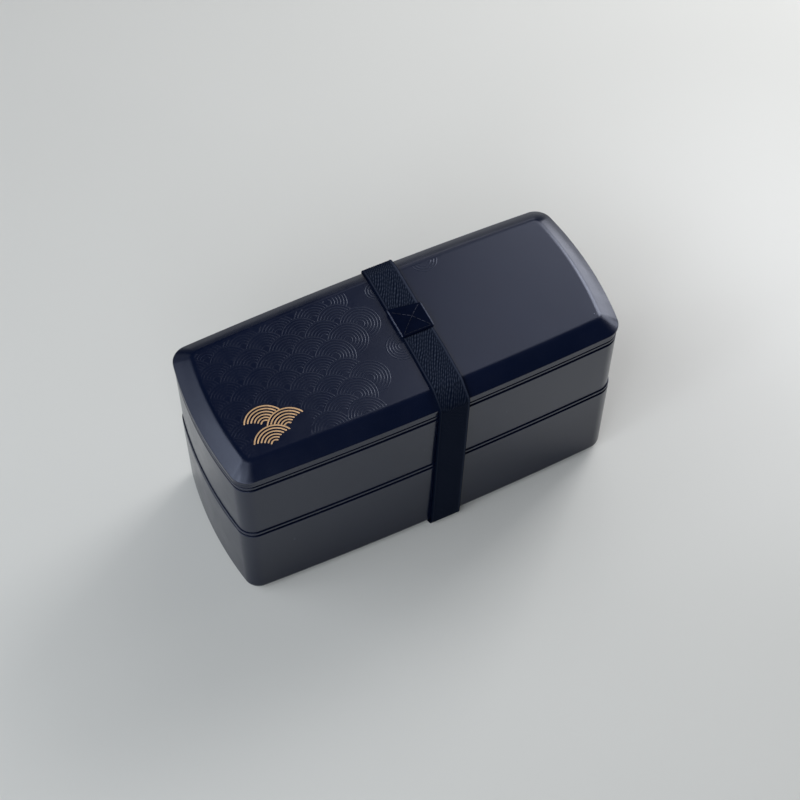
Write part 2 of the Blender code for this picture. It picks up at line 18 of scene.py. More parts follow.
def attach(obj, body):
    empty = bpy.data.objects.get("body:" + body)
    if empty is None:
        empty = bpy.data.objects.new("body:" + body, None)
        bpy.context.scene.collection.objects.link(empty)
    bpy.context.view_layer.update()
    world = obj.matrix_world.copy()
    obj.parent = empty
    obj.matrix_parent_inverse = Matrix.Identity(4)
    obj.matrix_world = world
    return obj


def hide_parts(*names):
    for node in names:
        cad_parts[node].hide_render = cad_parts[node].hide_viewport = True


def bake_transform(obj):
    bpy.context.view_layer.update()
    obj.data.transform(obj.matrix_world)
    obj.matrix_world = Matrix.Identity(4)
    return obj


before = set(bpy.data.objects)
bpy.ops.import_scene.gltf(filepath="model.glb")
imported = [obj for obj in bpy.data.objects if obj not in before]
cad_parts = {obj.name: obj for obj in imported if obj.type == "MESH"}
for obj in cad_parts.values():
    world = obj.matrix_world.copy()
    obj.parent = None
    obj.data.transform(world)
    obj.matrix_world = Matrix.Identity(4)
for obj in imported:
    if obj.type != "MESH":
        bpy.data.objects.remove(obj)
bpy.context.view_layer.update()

MM = 0.001
TAU = 2 * math.pi
log = logging.getLogger("bento_box")
Pair = tuple[float, float]
Triple = tuple[float, float, float]
Skin = tuple[np.ndarray, list]
Piece = bpy.types.Object
Socket = bpy.types.NodeSocket


# Shaping tools


def columns(*parts: object) -> np.ndarray:
    """Coordinates side by side along a new last axis, each spread out to their common shape."""
    return np.stack(np.broadcast_arrays(*parts), axis=-1)


def passing(points: np.ndarray, axis: int = 0) -> np.ndarray:
    """The way from the neighbour before each point of a closed line to the one after it."""
    return np.roll(points, -1, axis=axis) - np.roll(points, 1, axis=axis)


def outward(loop: np.ndarray) -> np.ndarray:
    """Unit normals of a closed, anticlockwise line in a plane: the way past each point, turned to the right."""
    along = passing(loop)
    return columns(along[:, 1], -along[:, 0]) / np.linalg.norm(along, axis=1)[:, None]


def fillets(corners: Sequence[Triple], steps: int = 5) -> np.ndarray:
    """Round the inner corners of an open line of points.

    Each corner gives way to the arc of its radius r that touches both legs: with half angle a between the legs, the
    arc's centre lies r / sin(a) along the bisector, and the arc turns through 180 degrees less 2a.

    Args:
        corners: (first, second, radius) of each point in mm; the end points keep their place.
        steps: segments in each arc.

    Returns:
        (first, second) of each point in metres, with a holding point on either side of each arc.
    """
    data = np.array(corners, float) * MM
    point, radius = data[:, :2], np.maximum(data[1:-1, 2], 0.00002)
    here = point[1:-1]
    back, ahead = point[:-2] - here, point[2:] - here
    back_length, ahead_length = np.linalg.norm(back, axis=1), np.linalg.norm(ahead, axis=1)
    back, ahead = back / back_length[:, None], ahead / ahead_length[:, None]
    half = np.arccos(np.clip((back * ahead).sum(1), -0.999999, 0.999999)) / 2
    radius = np.minimum(radius, 0.49 * np.minimum(back_length, ahead_length) * np.tan(half))
    reach = radius / np.tan(half)
    bisector = back + ahead
    bisector /= np.linalg.norm(bisector, axis=1)[:, None]
    centre = here + bisector * (radius / np.sin(half))[:, None]
    start = here + back * reach[:, None] - centre
    turn = back[:, 0] * ahead[:, 1] - back[:, 1] * ahead[:, 0]
    angle = (-np.sign(turn) * (math.pi - 2 * half))[:, None] * np.linspace(0.0, 1.0, steps + 1)
    cos, sin = np.cos(angle), np.sin(angle)
    arcs = columns(centre[:, :1] + start[:, :1] * cos - start[:, 1:] * sin,
                   centre[:, 1:] + start[:, :1] * sin + start[:, 1:] * cos)
    hold = (reach + np.minimum(0.00012, 0.3 * radius))[:, None]
    middle = np.concatenate([(here + back * hold)[:, None], arcs, (here + ahead * hold)[:, None]], axis=1)
    return np.vstack([point[:1], middle.reshape(-1, 2), point[-1:]])


def turned(section: np.ndarray, angle: np.ndarray, lift: float) -> np.ndarray:
    """Loops of a turned form: each point of the section becomes a circle about Z.

    Args:
        section: (radius, height) of each loop.
        angle: the angles of a loop's points.
        lift: added to every height.

    Returns:
        (loops, points, 3) array.
    """
    return columns(section[:, :1] * np.cos(angle), section[:, :1] * np.sin(angle), section[:, 1:] + lift)


def skin(rows: np.ndarray, closed: bool = False) -> Skin:
    """Join a stack of closed loops into one surface: point j of a loop to point j of the next.

    Args:
        rows: (loops, points, 3) array.
        closed: whether the last loop joins the first, as in a ring; otherwise both ends are filled.

    Returns:
        The points as one array, and the list of faces.
    """
    count, around = rows.shape[:2]
    index = np.arange(count * around).reshape(count, around)
    upper = np.vstack([index, index[:1]]) if closed else index
    beside = np.roll(upper, -1, axis=1)
    faces = np.stack([upper[:-1], beside[:-1], beside[1:], upper[1:]], axis=-1).reshape(-1, 4).tolist()
    if not closed:
        faces += [index[0, ::-1].tolist(), index[-1].tolist()]
    return rows.reshape(-1, 3), faces


def face_outwards(mesh: bpy.types.Mesh) -> None:
    """Turn the faces of closed skins outwards.

    Their volume is the sum over the triangles of p . (q x r) / 6; below zero, all faces look inwards.

    Args:
        mesh: the mesh of one or more closed skins that all look the same way.
    """
    mesh.calc_loop_triangles()
    place = np.empty(3 * len(mesh.vertices), np.float32)
    corner = np.empty(3 * len(mesh.loop_triangles), np.int32)
    mesh.vertices.foreach_get("co", place)
    mesh.loop_triangles.foreach_get("vertices", corner)
    p, q, r = place.astype(float).reshape(-1, 3)[corner.reshape(-1, 3)].transpose(1, 0, 2)
    if (p * np.cross(q, r)).sum() < 0.0:
        mesh.flip_normals()


def mesh_object(name: str, parts: Sequence[Skin], finish: "Finish", sharp: float = 50.0,
                merge: bool = False) -> Piece:
    """Put closed skins into a smooth object at the origin, with its faces outwards.

    Args:
        name: the piece's name.
        parts: (points, faces) of each skin.
        finish: the piece's finish.
        sharp: edges that turn by more than these degrees stay sharp.
        merge: whether doubles are merged and the faces' sides worked out skin by skin.

    Returns:
        The object, linked to the scene.
    """
    faces, offset = [], 0
    for part_points, part_faces in parts:
        faces += [[corner + offset for corner in face] for face in part_faces]
        offset += len(part_points)
    mesh = bpy.data.meshes.new(name)
    mesh.from_pydata(np.vstack([points for points, _ in parts]), [], faces)
    face_outwards(mesh)
    mesh.shade_smooth()
    mesh.set_sharp_from_angle(angle=math.radians(sharp))
    mesh.materials.append(finish.material)
    if merge:
        bm = bmesh.new()
        bm.from_mesh(mesh)
        bmesh.ops.remove_doubles(bm, verts=bm.verts, dist=1e-7)
        bmesh.ops.recalc_face_normals(bm, faces=bm.faces)
        bm.to_mesh(mesh)
        bm.free()
    obj = bpy.data.objects.new(name, mesh)
    bpy.context.scene.collection.objects.link(obj)
    return obj


def seat(obj: Piece, body: str, slot: str, *nodes: str) -> Piece:
    """Seat a piece on its body, and let it stand for its CAD nodes.

    Args:
        obj: the piece.
        body: the body that it moves with.
        slot: the record's material slot; not used.
        nodes: the CAD nodes that it stands for.

    Returns:
        The same piece.
    """
    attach(obj, body)
    if nodes:
        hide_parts(*nodes)
    log.info("%s: %d faces, rides on %s", obj.name, len(obj.data.polygons), body)
    return obj


def rounded_slab(size: Pair, corner: float, edge: float, low: float, high: float, steps: int = 5) -> np.ndarray:
    """Loops of a slab with round corners and edges.

    A loop is a rounded rectangle: an arc of the corner's radius in each quarter. The loops follow a half circle of
    the edge's radius out at the underside and back in at the top.

    Args:
        size: length along X and along Y.
        corner: radius of the corners seen from above.
        edge: radius of the edges.
        low: height of the underside.
        high: height of the top.
        steps: segments in a quarter turn.

    Returns:
        (loops, points, 3) array, from the underside up.
    """
    turn = np.linspace(0.0, math.pi / 2, steps + 1)
    inset = np.concatenate([[edge * 1.8], edge * (1 - np.sin(turn)), edge * (1 - np.cos(turn)), [edge * 1.8]])
    height = np.concatenate([[low], low + edge * (1 - np.cos(turn)), high - edge * (1 - np.sin(turn)), [high]])
    quarter = np.linspace(0.0, math.pi / 2, 2 * steps + 1)
    angle = np.concatenate([quarter + k * math.pi / 2 for k in range(4)])
    sign_x, sign_y = np.repeat([[1, -1, -1, 1], [1, 1, -1, -1]], len(quarter), axis=1)
    radius = np.maximum(corner - inset, corner * 0.05)[:, None]
    x = sign_x * (size[0] / 2 - inset[:, None] - radius) + radius * np.cos(angle)
    y = sign_y * (size[1] / 2 - inset[:, None] - radius) + radius * np.sin(angle)
    return columns(x, y, height[:, None])


@dataclass(frozen=True)
class Outline:
    """Bowed outline of the box seen from above: end arc, corner arc and side arc, mirrored to four quarters."""

    length: float = 0.2000
    width: float = 0.0838
    end_bow: float = 0.0049
    side_bow: float = 0.0022
    corner: float = 0.0089
    least_corner: float = 0.0012
    end_steps: int = 9
    corner_steps: int = 20
    side_steps: int = 14

    @property
    def end_radius(self) -> float:
        """Radius of the circle through the bow of an end."""
        return (self.width ** 2 / 4 + self.end_bow ** 2) / (2 * self.end_bow)

    @property
    def side_radius(self) -> float:
        """Radius of the circle through the bow of a side."""
        return ((self.length / 2 - self.end_bow) ** 2 + self.side_bow ** 2) / (2 * self.side_bow)

    def concentric(self, inset: np.ndarray) -> np.ndarray:
        """Corner radius of an outline parallel to the widest one."""
        return np.maximum(self.corner - inset, self.least_corner)

    def rings(self, inset: np.ndarray, height: np.ndarray, corner: Optional[np.ndarray] = None) -> np.ndarray:
        """Carry a profile round the outline.

        A corner's circle touches the end circle and the side circle from inside, so its centre lies where those
        two, each less the corner's radius, cross.

        Args:
            inset: distance inwards from the widest outline, for each profile point.
            height: height of each profile point.
            corner: corner radius at each profile point; parallel outlines where it is left out.

        Returns:
            (profile points, outline points, 3) array.
        """
        inset = np.asarray(inset, float)
        corner = self.concentric(inset) if corner is None else corner
        end_x, side_y = self.length / 2 - self.end_radius, self.width / 2 - self.side_radius
        end_r, side_r = self.end_radius - inset, self.side_radius - inset
        apart = math.hypot(end_x, side_y)
        ux, uy = -end_x / apart, side_y / apart
        first, second = end_r - corner, side_r - corner
        along = (apart ** 2 + first ** 2 - second ** 2) / (2 * apart)
        across = np.sqrt(first ** 2 - along ** 2)
        cx, cy = end_x + along * ux - across * uy, along * uy + across * ux
        end_turn, side_turn = np.arctan2(cy, cx - end_x), np.arctan2(cy - side_y, cx)
        zero = np.zeros_like(inset)

        def arc(x0: np.ndarray, y0: np.ndarray, radius: np.ndarray, start: np.ndarray, stop: np.ndarray,
                steps: int) -> np.ndarray:
            """Points from start up to, but not at, stop on every profile point's own circle.

            Args:
                x0: the circles' middles along X.
                y0: the circles' middles along Y.
                radius: their radii.
                start: first angles.
                stop: last angles.
                steps: points on each circle.

            Returns:
                (profile points, steps, 2) array.
            """
            turn = start[:, None] + (stop - start)[:, None] * (np.arange(steps) / steps)
            return columns(x0[:, None] + radius[:, None] * np.cos(turn),
                           y0[:, None] + radius[:, None] * np.sin(turn))

        quarter = np.concatenate([
            arc(zero + end_x, zero, end_r, zero, end_turn, self.end_steps),
            arc(cx, cy, corner, end_turn, side_turn, self.corner_steps),
            arc(zero, zero + side_y, side_r, side_turn, zero + math.pi / 2, self.side_steps),
            columns(zero, self.width / 2 - inset)[:, None]], axis=1)
        ring = np.concatenate([quarter, (quarter * [-1, 1])[:, -2::-1], (quarter * [-1, -1])[:, 1:],
                               (quarter * [1, -1])[:, -2:0:-1]], axis=1)
        return columns(ring[..., 0], ring[..., 1], np.asarray(height, float)[:, None])

    def half_width_at(self, x: np.ndarray, inset: float) -> np.ndarray:
        """Half the width across the bowed sides at a place along the box."""
        return self.width / 2 - self.side_radius + np.sqrt((self.side_radius - inset) ** 2 - x ** 2)


OUTLINE = Outline()


# Finishes


class NodeBench:
    """Short calls that lay out the nodes of a material or a world."""

    def __init__(self, tree: bpy.types.NodeTree, shader: str) -> None:
        """Work on a node tree, and on the shader of that name in it."""
        self.tree, self.shader = tree, tree.nodes[shader]

    def feed(self, socket: Socket, value: object) -> None:
        """Wire an output to a socket, or set the socket's value; colours are opaque.

        Args:
            socket: the input.
            value: an output, or the value.
        """
        if isinstance(value, Socket):
            self.tree.links.new(value, socket)
        else:
            socket.default_value = (*value, 1.0) if socket.type == "RGBA" else value

    def surface(self, **values: object) -> None:
        """Feed the shader's sockets by name."""
        for key, value in values.items():
            self.feed(self.shader.inputs[key.replace("_", " ")], value)

    def add(self, kind: str, *inputs: object, **values: object) -> bpy.types.Node:
        """Add a node.

        Args:
            kind: its type.
            inputs: fed to its first inputs in order.
            values: properties to set, or sockets to feed, by name.

        Returns:
            The node.
        """
        node = self.tree.nodes.new(kind)
        for key, value in values.items():
            if hasattr(node, key):
                setattr(node, key, value)
            else:
                self.feed(node.inputs[key.replace("_", " ")], value)
        for socket, value in zip(node.inputs, inputs):
            self.feed(socket, value)
        return node

    def place(self, source: str, scale: Triple = (1.0, 1.0, 1.0)) -> Socket:
        """Coordinates from that output of the Texture Coordinate node, scaled."""
        found = self.add("ShaderNodeTexCoord").outputs[source]
        return self.add("ShaderNodeMapping", Vector=found, Scale=scale).outputs["Vector"]

    def noise(self, where: Socket, scale: float, detail: float = 3.0, roughness: float = 0.5) -> Socket:
        """Noise value on the given coordinates."""
        return self.add("ShaderNodeTexNoise", Vector=where, Scale=scale, Detail=detail,
                        Roughness=roughness).outputs["Fac"]

    def ramp(self, value: Socket, low: float, high: float, start: float = 0.0, stop: float = 1.0,
             smooth: bool = False) -> Socket:
        """Map the range low to high onto start to stop, and hold it there."""
        return self.add("ShaderNodeMapRange", clamp=True, interpolation_type="SMOOTHSTEP" if smooth else "LINEAR",
                        Value=value, From_Min=low, From_Max=high, To_Min=start, To_Max=stop).outputs["Result"]

    def blend(self, value: Socket, first: object, second: object) -> Socket:
        """Mix two colours.

        Args:
            value: share of the second one.
            first: a colour or an output.
            second: a colour or an output.

        Returns:
            The mixed colour.
        """
        node = self.add("ShaderNodeMix", data_type="RGBA", Factor=value)
        self.feed(node.inputs[6], first)
        self.feed(node.inputs[7], second)
        return node.outputs[2]

    def math(self, operation: str, first: object, second: object) -> Socket:
        """One Math node on outputs or numbers."""
        return self.add("ShaderNodeMath", first, second, operation=operation).outputs["Value"]

    def distance(self, where: Socket, point: Triple) -> Socket:
        """Distance of the coordinates from a point."""
        return self.add("ShaderNodeVectorMath", where, point, operation="DISTANCE").outputs["Value"]

    def bump(self, height: Socket, strength: float, distance: float, under: Optional[Socket] = None) -> Socket:
        """Bump from a height.

        Args:
            height: the height.
            strength: share of the bump.
            distance: height in metres that 1 stands for.
            under: another bump that it is laid over.

        Returns:
            The normal.
        """
        node = self.add("ShaderNodeBump", Height=height, Strength=strength, Distance=distance)
        if under is not None:
            self.feed(node.inputs["Normal"], under)
        return node.outputs["Normal"]


@dataclass(frozen=True)
class Surface:
    """A finish: its name, its coordinates, and the nodes that its kind lays out."""

    coordinates: ClassVar[str] = "Object"
    name: str

    def lay(self, bench: NodeBench, where: Socket) -> None:
        """Lay out the nodes; each kind has its own way."""
        raise NotImplementedError

    def make(self) -> bpy.types.Material:
        """Build the material.

        Returns:
            The material, with its nodes laid out.
        """
        material = bpy.data.materials.new(self.name)
        material.use_nodes = True
        bench = NodeBench(material.node_tree, "Principled BSDF")
        self.lay(bench, bench.place(self.coordinates))
        return material


@dataclass(frozen=True)
class MouldedPlastic(Surface):
    """Moulded plastic: two close tones in soft clouds, a fine spark-eroded grain, rubbed patches and a little dust."""

    tone: Triple
    second_tone: Triple
    roughness: Pair = (0.20, 0.27)
    grain: float = 0.0
    dust: float = 0.5
    subsurface: float = 0.0
    gloss_tint: Triple = (1.0, 1.0, 1.0)
    painted_shade_span: Optional[Pair] = None
    painted_shade_tone: Triple = (0.0050, 0.0082, 0.0230)
    foot_gloss_painted_shade: Optional[Pair] = None

    def lay(self, bench: NodeBench, where: Socket) -> None:
        """Lay out the nodes.

        A second X range, where given, takes the tone over to a darker one between those two X: painted shade that fades
        the raised lines towards the left end.
        A pair of gloss levels for the foot, where given, makes the gloss level rise from its first value at the foot to
        its second at the shoulder of the tray: painted shade that darkens the lower walls.

        Args:
            bench: the material's bench.
            where: the coordinates.
        """
        colour = bench.blend(bench.ramp(bench.noise(where, 38.0, 4.0), 0.35, 0.65), self.tone, self.second_tone)
        apart = bench.add("ShaderNodeSeparateXYZ", where)
        # Painted shade: the gloss level is lowest at the foot, so the lower walls reflect less and look darker.
        if self.foot_gloss_painted_shade:
            bench.surface(Specular_IOR_Level=bench.ramp(apart.outputs["Z"], 0.003, 0.060, *self.foot_gloss_painted_shade))
        # Painted shade: between the two X the tone goes over to a darker one, so the raised lines fade towards the left
        # end.
        if self.painted_shade_span:
            wear_and_painted_shade = bench.ramp(apart.outputs["X"], *self.painted_shade_span, 1.0, 0.0)
            colour = bench.blend(wear_and_painted_shade, colour, self.painted_shade_tone)
        cell = bench.add("ShaderNodeTexVoronoi", Vector=where, Scale=170.0, Randomness=1.0)
        speck = bench.ramp(cell.outputs["Distance"], 0.035, 0.055, 1.0, 0.0)
        seldom = bench.ramp(bench.noise(where, 60.0, 2.0), 0.62, 0.66)
        mask = bench.math("MULTIPLY", bench.math("MULTIPLY", speck, seldom), self.dust)
        rough = bench.ramp(bench.noise(where, 95.0, 6.0, 0.65), 0.3, 0.7, *self.roughness)
        fine = bench.bump(bench.noise(where, 2600.0, 2.0), self.grain, 0.0001)
        bench.surface(Base_Color=bench.blend(mask, colour, (0.30, 0.32, 0.35)),
                      Roughness=bench.math("ADD", rough, bench.math("MULTIPLY", mask, 0.3)),
                      Normal=bench.bump(bench.noise(where, 55.0, 1.0), 0.04, 0.0004, fine),
                      IOR=1.55, Specular_Tint=self.gloss_tint)
        if self.subsurface:
            bench.surface(Subsurface_Weight=self.subsurface, Subsurface_Scale=0.003)


@dataclass(frozen=True)
class GoldFoil(Surface):
    """Hot-stamped foil: warm tan gold with a faint grain and a few thin places."""

    name: str = "gold_foil"
    tone: Triple = (0.76, 0.480, 0.240)
    thin_tone: Triple = (0.56, 0.32, 0.145)

    def lay(self, bench: NodeBench, where: Socket) -> None:
        """Lay out the nodes: noise picks the thin places, which are duller.

        Args:
            bench: the material's bench.
            where: the coordinates.
        """
        thin = bench.ramp(bench.noise(where, 900.0, 5.0, 0.6), 0.52, 0.72)
        bench.surface(Base_Color=bench.blend(thin, self.tone, self.thin_tone),
                      Roughness=bench.ramp(thin, 0.0, 1.0, 0.38, 0.55), Metallic=0.35,
                      Normal=bench.bump(bench.noise(where, 2200.0, 2.0), 0.15, 0.0001))


@dataclass(frozen=True)
class Webbing(Surface):
    """Woven elastic: dark yarns seen along the band, with painted light on each float's crown and painted shade in the
    valleys, and loose fibres.
    """

    coordinates: ClassVar[str] = "UV"
    name: str = "woven_elastic"
    valley: Triple = (0.0022, 0.0048, 0.0132)
    crown: Triple = (0.0560, 0.0680, 0.0960)
    wear: Triple = (0.050, 0.057, 0.080)

    def lay(self, bench: NodeBench, where: Socket) -> None:
        """Lay out the nodes.

        Args:
            bench: the material's bench.
            where: the UV map in mm, U across the band and V along it.
        """
        height = bench.add("ShaderNodeAttribute", attribute_name="float_height").outputs["Fac"]
        edge = bench.add("ShaderNodeAttribute", attribute_name="selvedge").outputs["Fac"]
        yarn = bench.noise(bench.place("UV", (4.2, 1.1, 1.0)), 2.2, 4.0, 0.7)
        lift = bench.math("MULTIPLY", height, bench.ramp(yarn, 0.3, 0.7, 0.25, 1.30))
        # Painted light and shade: the tone runs from the shaded valleys to the lit crowns with the float height.
        base = bench.blend(bench.ramp(lift, 0.05, 1.15), self.valley, self.crown)
        rubbed = bench.ramp(bench.noise(where, 0.16, 5.0, 0.6), 0.52, 0.78)
        wear_and_painted_shade = bench.math("MAXIMUM", bench.math("MULTIPLY", rubbed, bench.ramp(lift, 0.6, 1.1)),
                          bench.math("MULTIPLY", edge, bench.ramp(yarn, 0.3, 0.6, 0.35, 0.9)))
        strand = bench.add("ShaderNodeTexWave", wave_type="BANDS", bands_direction="DIAGONAL", Scale=2.6,
                           Vector=bench.place("UV", (1.0, 0.35, 1.0)), Distortion=1.4, Detail=2.0)
        twist = bench.bump(strand.outputs["Fac"], 0.35, 0.00012)
        bench.surface(Base_Color=bench.blend(wear_and_painted_shade, base, self.wear), Roughness=bench.ramp(yarn, 0.2, 0.8, 0.85, 1.0),
                      Normal=bench.bump(yarn, 0.4, 0.00015, twist), Sheen_Weight=0.004, Sheen_Roughness=0.45,
                      Sheen_Tint=(0.45, 0.58, 0.90), Specular_IOR_Level=0.02)


@dataclass(frozen=True)
class PatchCloth(Surface):
    """Smooth coated patch: near black, with a fine plain weave pressed flat."""

    name: str = "coated_cloth"
    tone: Triple = (0.0011, 0.0030, 0.0117)
    rub_and_glint_tone: Triple = (0.0023, 0.0048, 0.0157)

    def lay(self, bench: NodeBench, where: Socket) -> None:
        """Lay out the nodes: noise rubs the cloth, and a checker lifts its weave.

        Args:
            bench: the material's bench.
            where: the coordinates.
        """
        rub = bench.ramp(bench.noise(where, 260.0, 5.0, 0.6), 0.45, 0.75)
        weave = bench.add("ShaderNodeTexChecker", Vector=where, Scale=3200.0)
        cloth = bench.bump(weave.outputs["Fac"], 0.10, 0.00005)
        bench.surface(Base_Color=bench.blend(rub, self.tone, self.rub_and_glint_tone), Specular_IOR_Level=0.02,
                      Roughness=bench.ramp(rub, 0.0, 1.0, 0.62, 0.80),
                      Normal=bench.bump(bench.noise(where, 420.0, 3.0), 0.25, 0.0002, cloth))


@dataclass(frozen=True)
class SewingThread(Surface):
    """Twisted polyester thread, navy with lighter plies, and paler in patches as a painted highlight, most near the far
    right corner.
    """

    name: str = "sewing_thread"
    tone: Triple = (0.003, 0.005, 0.013)
    ply_tone: Triple = (0.009, 0.012, 0.024)
    rub_and_glint_tone: Triple = (0.060, 0.066, 0.094)
    glint_at: Triple = (0.0155, 0.0105, 0.110)

    def lay(self, bench: NodeBench, where: Socket) -> None:
        """Lay out the nodes: fine noise twists the plies, and coarse noise pales them as a painted highlight, most near
        the far right corner.

        Args:
            bench: the material's bench.
            where: the coordinates.
        """
        ply = bench.ramp(bench.noise(where, 3800.0, 2.0), 0.35, 0.65)
        # Painted highlight: pale patches, strongest near the far right corner, where the stitches catch the light.
        patchy = bench.ramp(bench.noise(where, 260.0, 2.0), 0.40, 0.60)
        near = bench.ramp(bench.distance(where, self.glint_at), 0.005, 0.012, 1.0, 0.12)
        colour = bench.blend(ply, self.tone, self.ply_tone)
        bench.surface(Base_Color=bench.blend(bench.math("MULTIPLY", patchy, near), colour, self.rub_and_glint_tone),
                      Roughness=bench.ramp(ply, 0.0, 1.0, 0.75, 0.5), Normal=bench.bump(ply, 0.4, 0.0001),
                      Specular_IOR_Level=0.2)


@dataclass(frozen=True)
class Silicone(Surface):
    """Soft matt silicone with a bloom of dust in its hollows."""

    name: str = "grey_silicone"
    tone: Triple = (0.36, 0.37, 0.39)
    bloom: Triple = (0.46, 0.47, 0.49)

    def lay(self, bench: NodeBench, where: Socket) -> None:
        """Lay out the nodes: noise spreads the bloom, which is duller.

        Args:
            bench: the material's bench.
            where: the coordinates.
        """
        cloud = bench.ramp(bench.noise(where, 140.0, 5.0, 0.6), 0.4, 0.7)
        bench.surface(Base_Color=bench.blend(cloud, self.tone, self.bloom), Subsurface_Weight=0.15,
                      Roughness=bench.ramp(cloud, 0.0, 1.0, 0.5, 0.68), Subsurface_Scale=0.002,
                      Normal=bench.bump(bench.noise(where, 1800.0, 2.0), 0.08, 0.0001))


@dataclass(frozen=True)
class TableTop(Surface):
    """Pale matt table with the faintest mottling, and a painted pool of light towards the window."""

    name: str = "pale_table"
    tone: Triple = (0.700, 0.690, 0.625)
    second_tone: Triple = (0.714, 0.704, 0.638)
    painted_light_tone: Triple = (0.870, 0.858, 0.785)
    painted_light_at: Triple = (0.218, -0.006, 0.0)
    painted_light_reach: float = 0.206

    def lay(self, bench: NodeBench, where: Socket) -> None:
        """Lay out the nodes: noise mottles the table, and the painted pool of light fades with the distance from its
        middle.

        Args:
            bench: the material's bench.
            where: the coordinates.
        """
        colour = bench.blend(bench.ramp(bench.noise(where, 6.0, 3.0), 0.3, 0.7), self.tone, self.second_tone)
        # Painted light: the table is lighter towards the window, fading with the distance from the middle of that pool.
        fade = bench.ramp(bench.distance(where, self.painted_light_at), 0.0, self.painted_light_reach, 1.0, 0.0, smooth=True)
        bench.surface(Base_Color=bench.blend(fade, colour, self.painted_light_tone), Roughness=0.7, Specular_IOR_Level=0.2)


class Finish(Enum):
    """The finishes of the box, one for each kind of surface."""

    # The navy moulding's gloss is lowered towards the foot: painted shade on the lower walls.
    NAVY = MouldedPlastic("navy_moulding", (0.0030, 0.0059, 0.0190), (0.0038, 0.0070, 0.0215),
                          gloss_tint=(0.82, 0.87, 1.0), foot_gloss_painted_shade=(0.12, 0.49))
    # The raised lines are painted lighter than the navy moulding as a painted highlight on their slopes, and go over to
    # a darker tone towards the left end as painted shade.
    RELIEF = MouldedPlastic("navy_relief", (0.0084, 0.0121, 0.0264), (0.0097, 0.0139, 0.0290), (0.23, 0.29), 0.0, 0.0,
                            gloss_tint=(0.82, 0.87, 1.0), painted_shade_span=(-0.082, -0.028))
    GREY = MouldedPlastic("grey_moulding", (0.20, 0.21, 0.23), (0.23, 0.24, 0.26), (0.42, 0.52), 0.10, 0.0, 0.1)
    GOLD = GoldFoil()
    WEBBING = Webbing()
    PATCH = PatchCloth()
    THREAD = SewingThread()
    SEALED_EDGE = MouldedPlastic("sealed_edge", (0.022, 0.029, 0.054), (0.030, 0.038, 0.066), (0.36, 0.48), 0.3, 0.0,
                                 gloss_tint=(0.82, 0.88, 1.0))
    SILICONE = Silicone()
    TABLE = TableTop()

    @property
    def material(self) -> bpy.types.Material:
        """The finish's material, made when it is first asked for."""
        return bpy.data.materials.get(self.value.name) or self.value.make()


# Trays, lids and dividers: insets and heights in mm


DRAFT = math.tan(math.radians(0.8))
WALL, MOUTH, NEST, BORE = 0.5, 2.6, 2.9, 3.6
LID_TOP = 107.4


@dataclass
class Tray:
    """One tray: its outer wall, shadow groove, rim band, mouth with its ledge, bore and floor; heights in mm."""

    name: str
    body: str
    foot: float
    rim: float
    nests: bool
    rim_band: float = 1.4
    groove: float = 1.7
    groove_depth: float = 0.8
    mouth_depth: float = 4.0
    base: float = 2.0
    floor_fillet: float = 4.0

    def underside(self, groove_low: float) -> tuple[list[Triple], float]:
        """Section from the middle of the underside to the foot of the wall.

        Args:
            groove_low: height of the lower edge of the shadow groove.

        Returns:
            (inset, height, radius) corners in mm, and the height of the floor inside.
        """
        foot = self.foot
        if self.nests:
            shoulder = foot + 2.2
            inner = NEST + 3.0
            edge = WALL + DRAFT * (groove_low - shoulder)
            recess = shoulder - 0.3
            return [(inner + 9.0, recess, 0.0), (inner, recess, 0.3), (inner, foot, 0.3), (NEST, foot, 0.3),
                    (NEST, shoulder, 0.15), (edge, shoulder, 0.3)], recess + self.base
        edge = WALL + DRAFT * (groove_low - foot)
        inner = edge + 4.0 + 3.5
        return [(inner + 9.0, foot + 0.8, 0.0), (inner + 0.8, foot + 0.8, 0.4), (inner, foot, 0.4),
                (edge, foot, 4.0)], foot + 0.8 + self.base

    def build(self) -> Piece:
        """Build the tray in place of its CAD node: up the wall, over the rim and down the bore to the floor.

        Returns:
            The piece.
        """
        top = self.rim - self.rim_band
        low, ledge = top - self.groove, self.rim - self.mouth_depth
        corners, floor = self.underside(low)
        bottom = BORE + DRAFT * (ledge - floor)
        section = fillets(corners + [
            (WALL, low, 0.3), (WALL + self.groove_depth, low, 0.1), (WALL + self.groove_depth, top, 0.1),
            (WALL, top, 0.22), (WALL, self.rim, 0.3), (MOUTH, self.rim, 0.3), (MOUTH, ledge, 0.15),
            (BORE, ledge, 0.2), (bottom, floor, self.floor_fillet), (bottom + 12.0, floor, 0.0)])
        obj = mesh_object(self.name + "_shell", [skin(OUTLINE.rings(section[:, 0], section[:, 1]))], Finish.NAVY)
        return seat(obj, self.body, "navy_plastic", self.name)


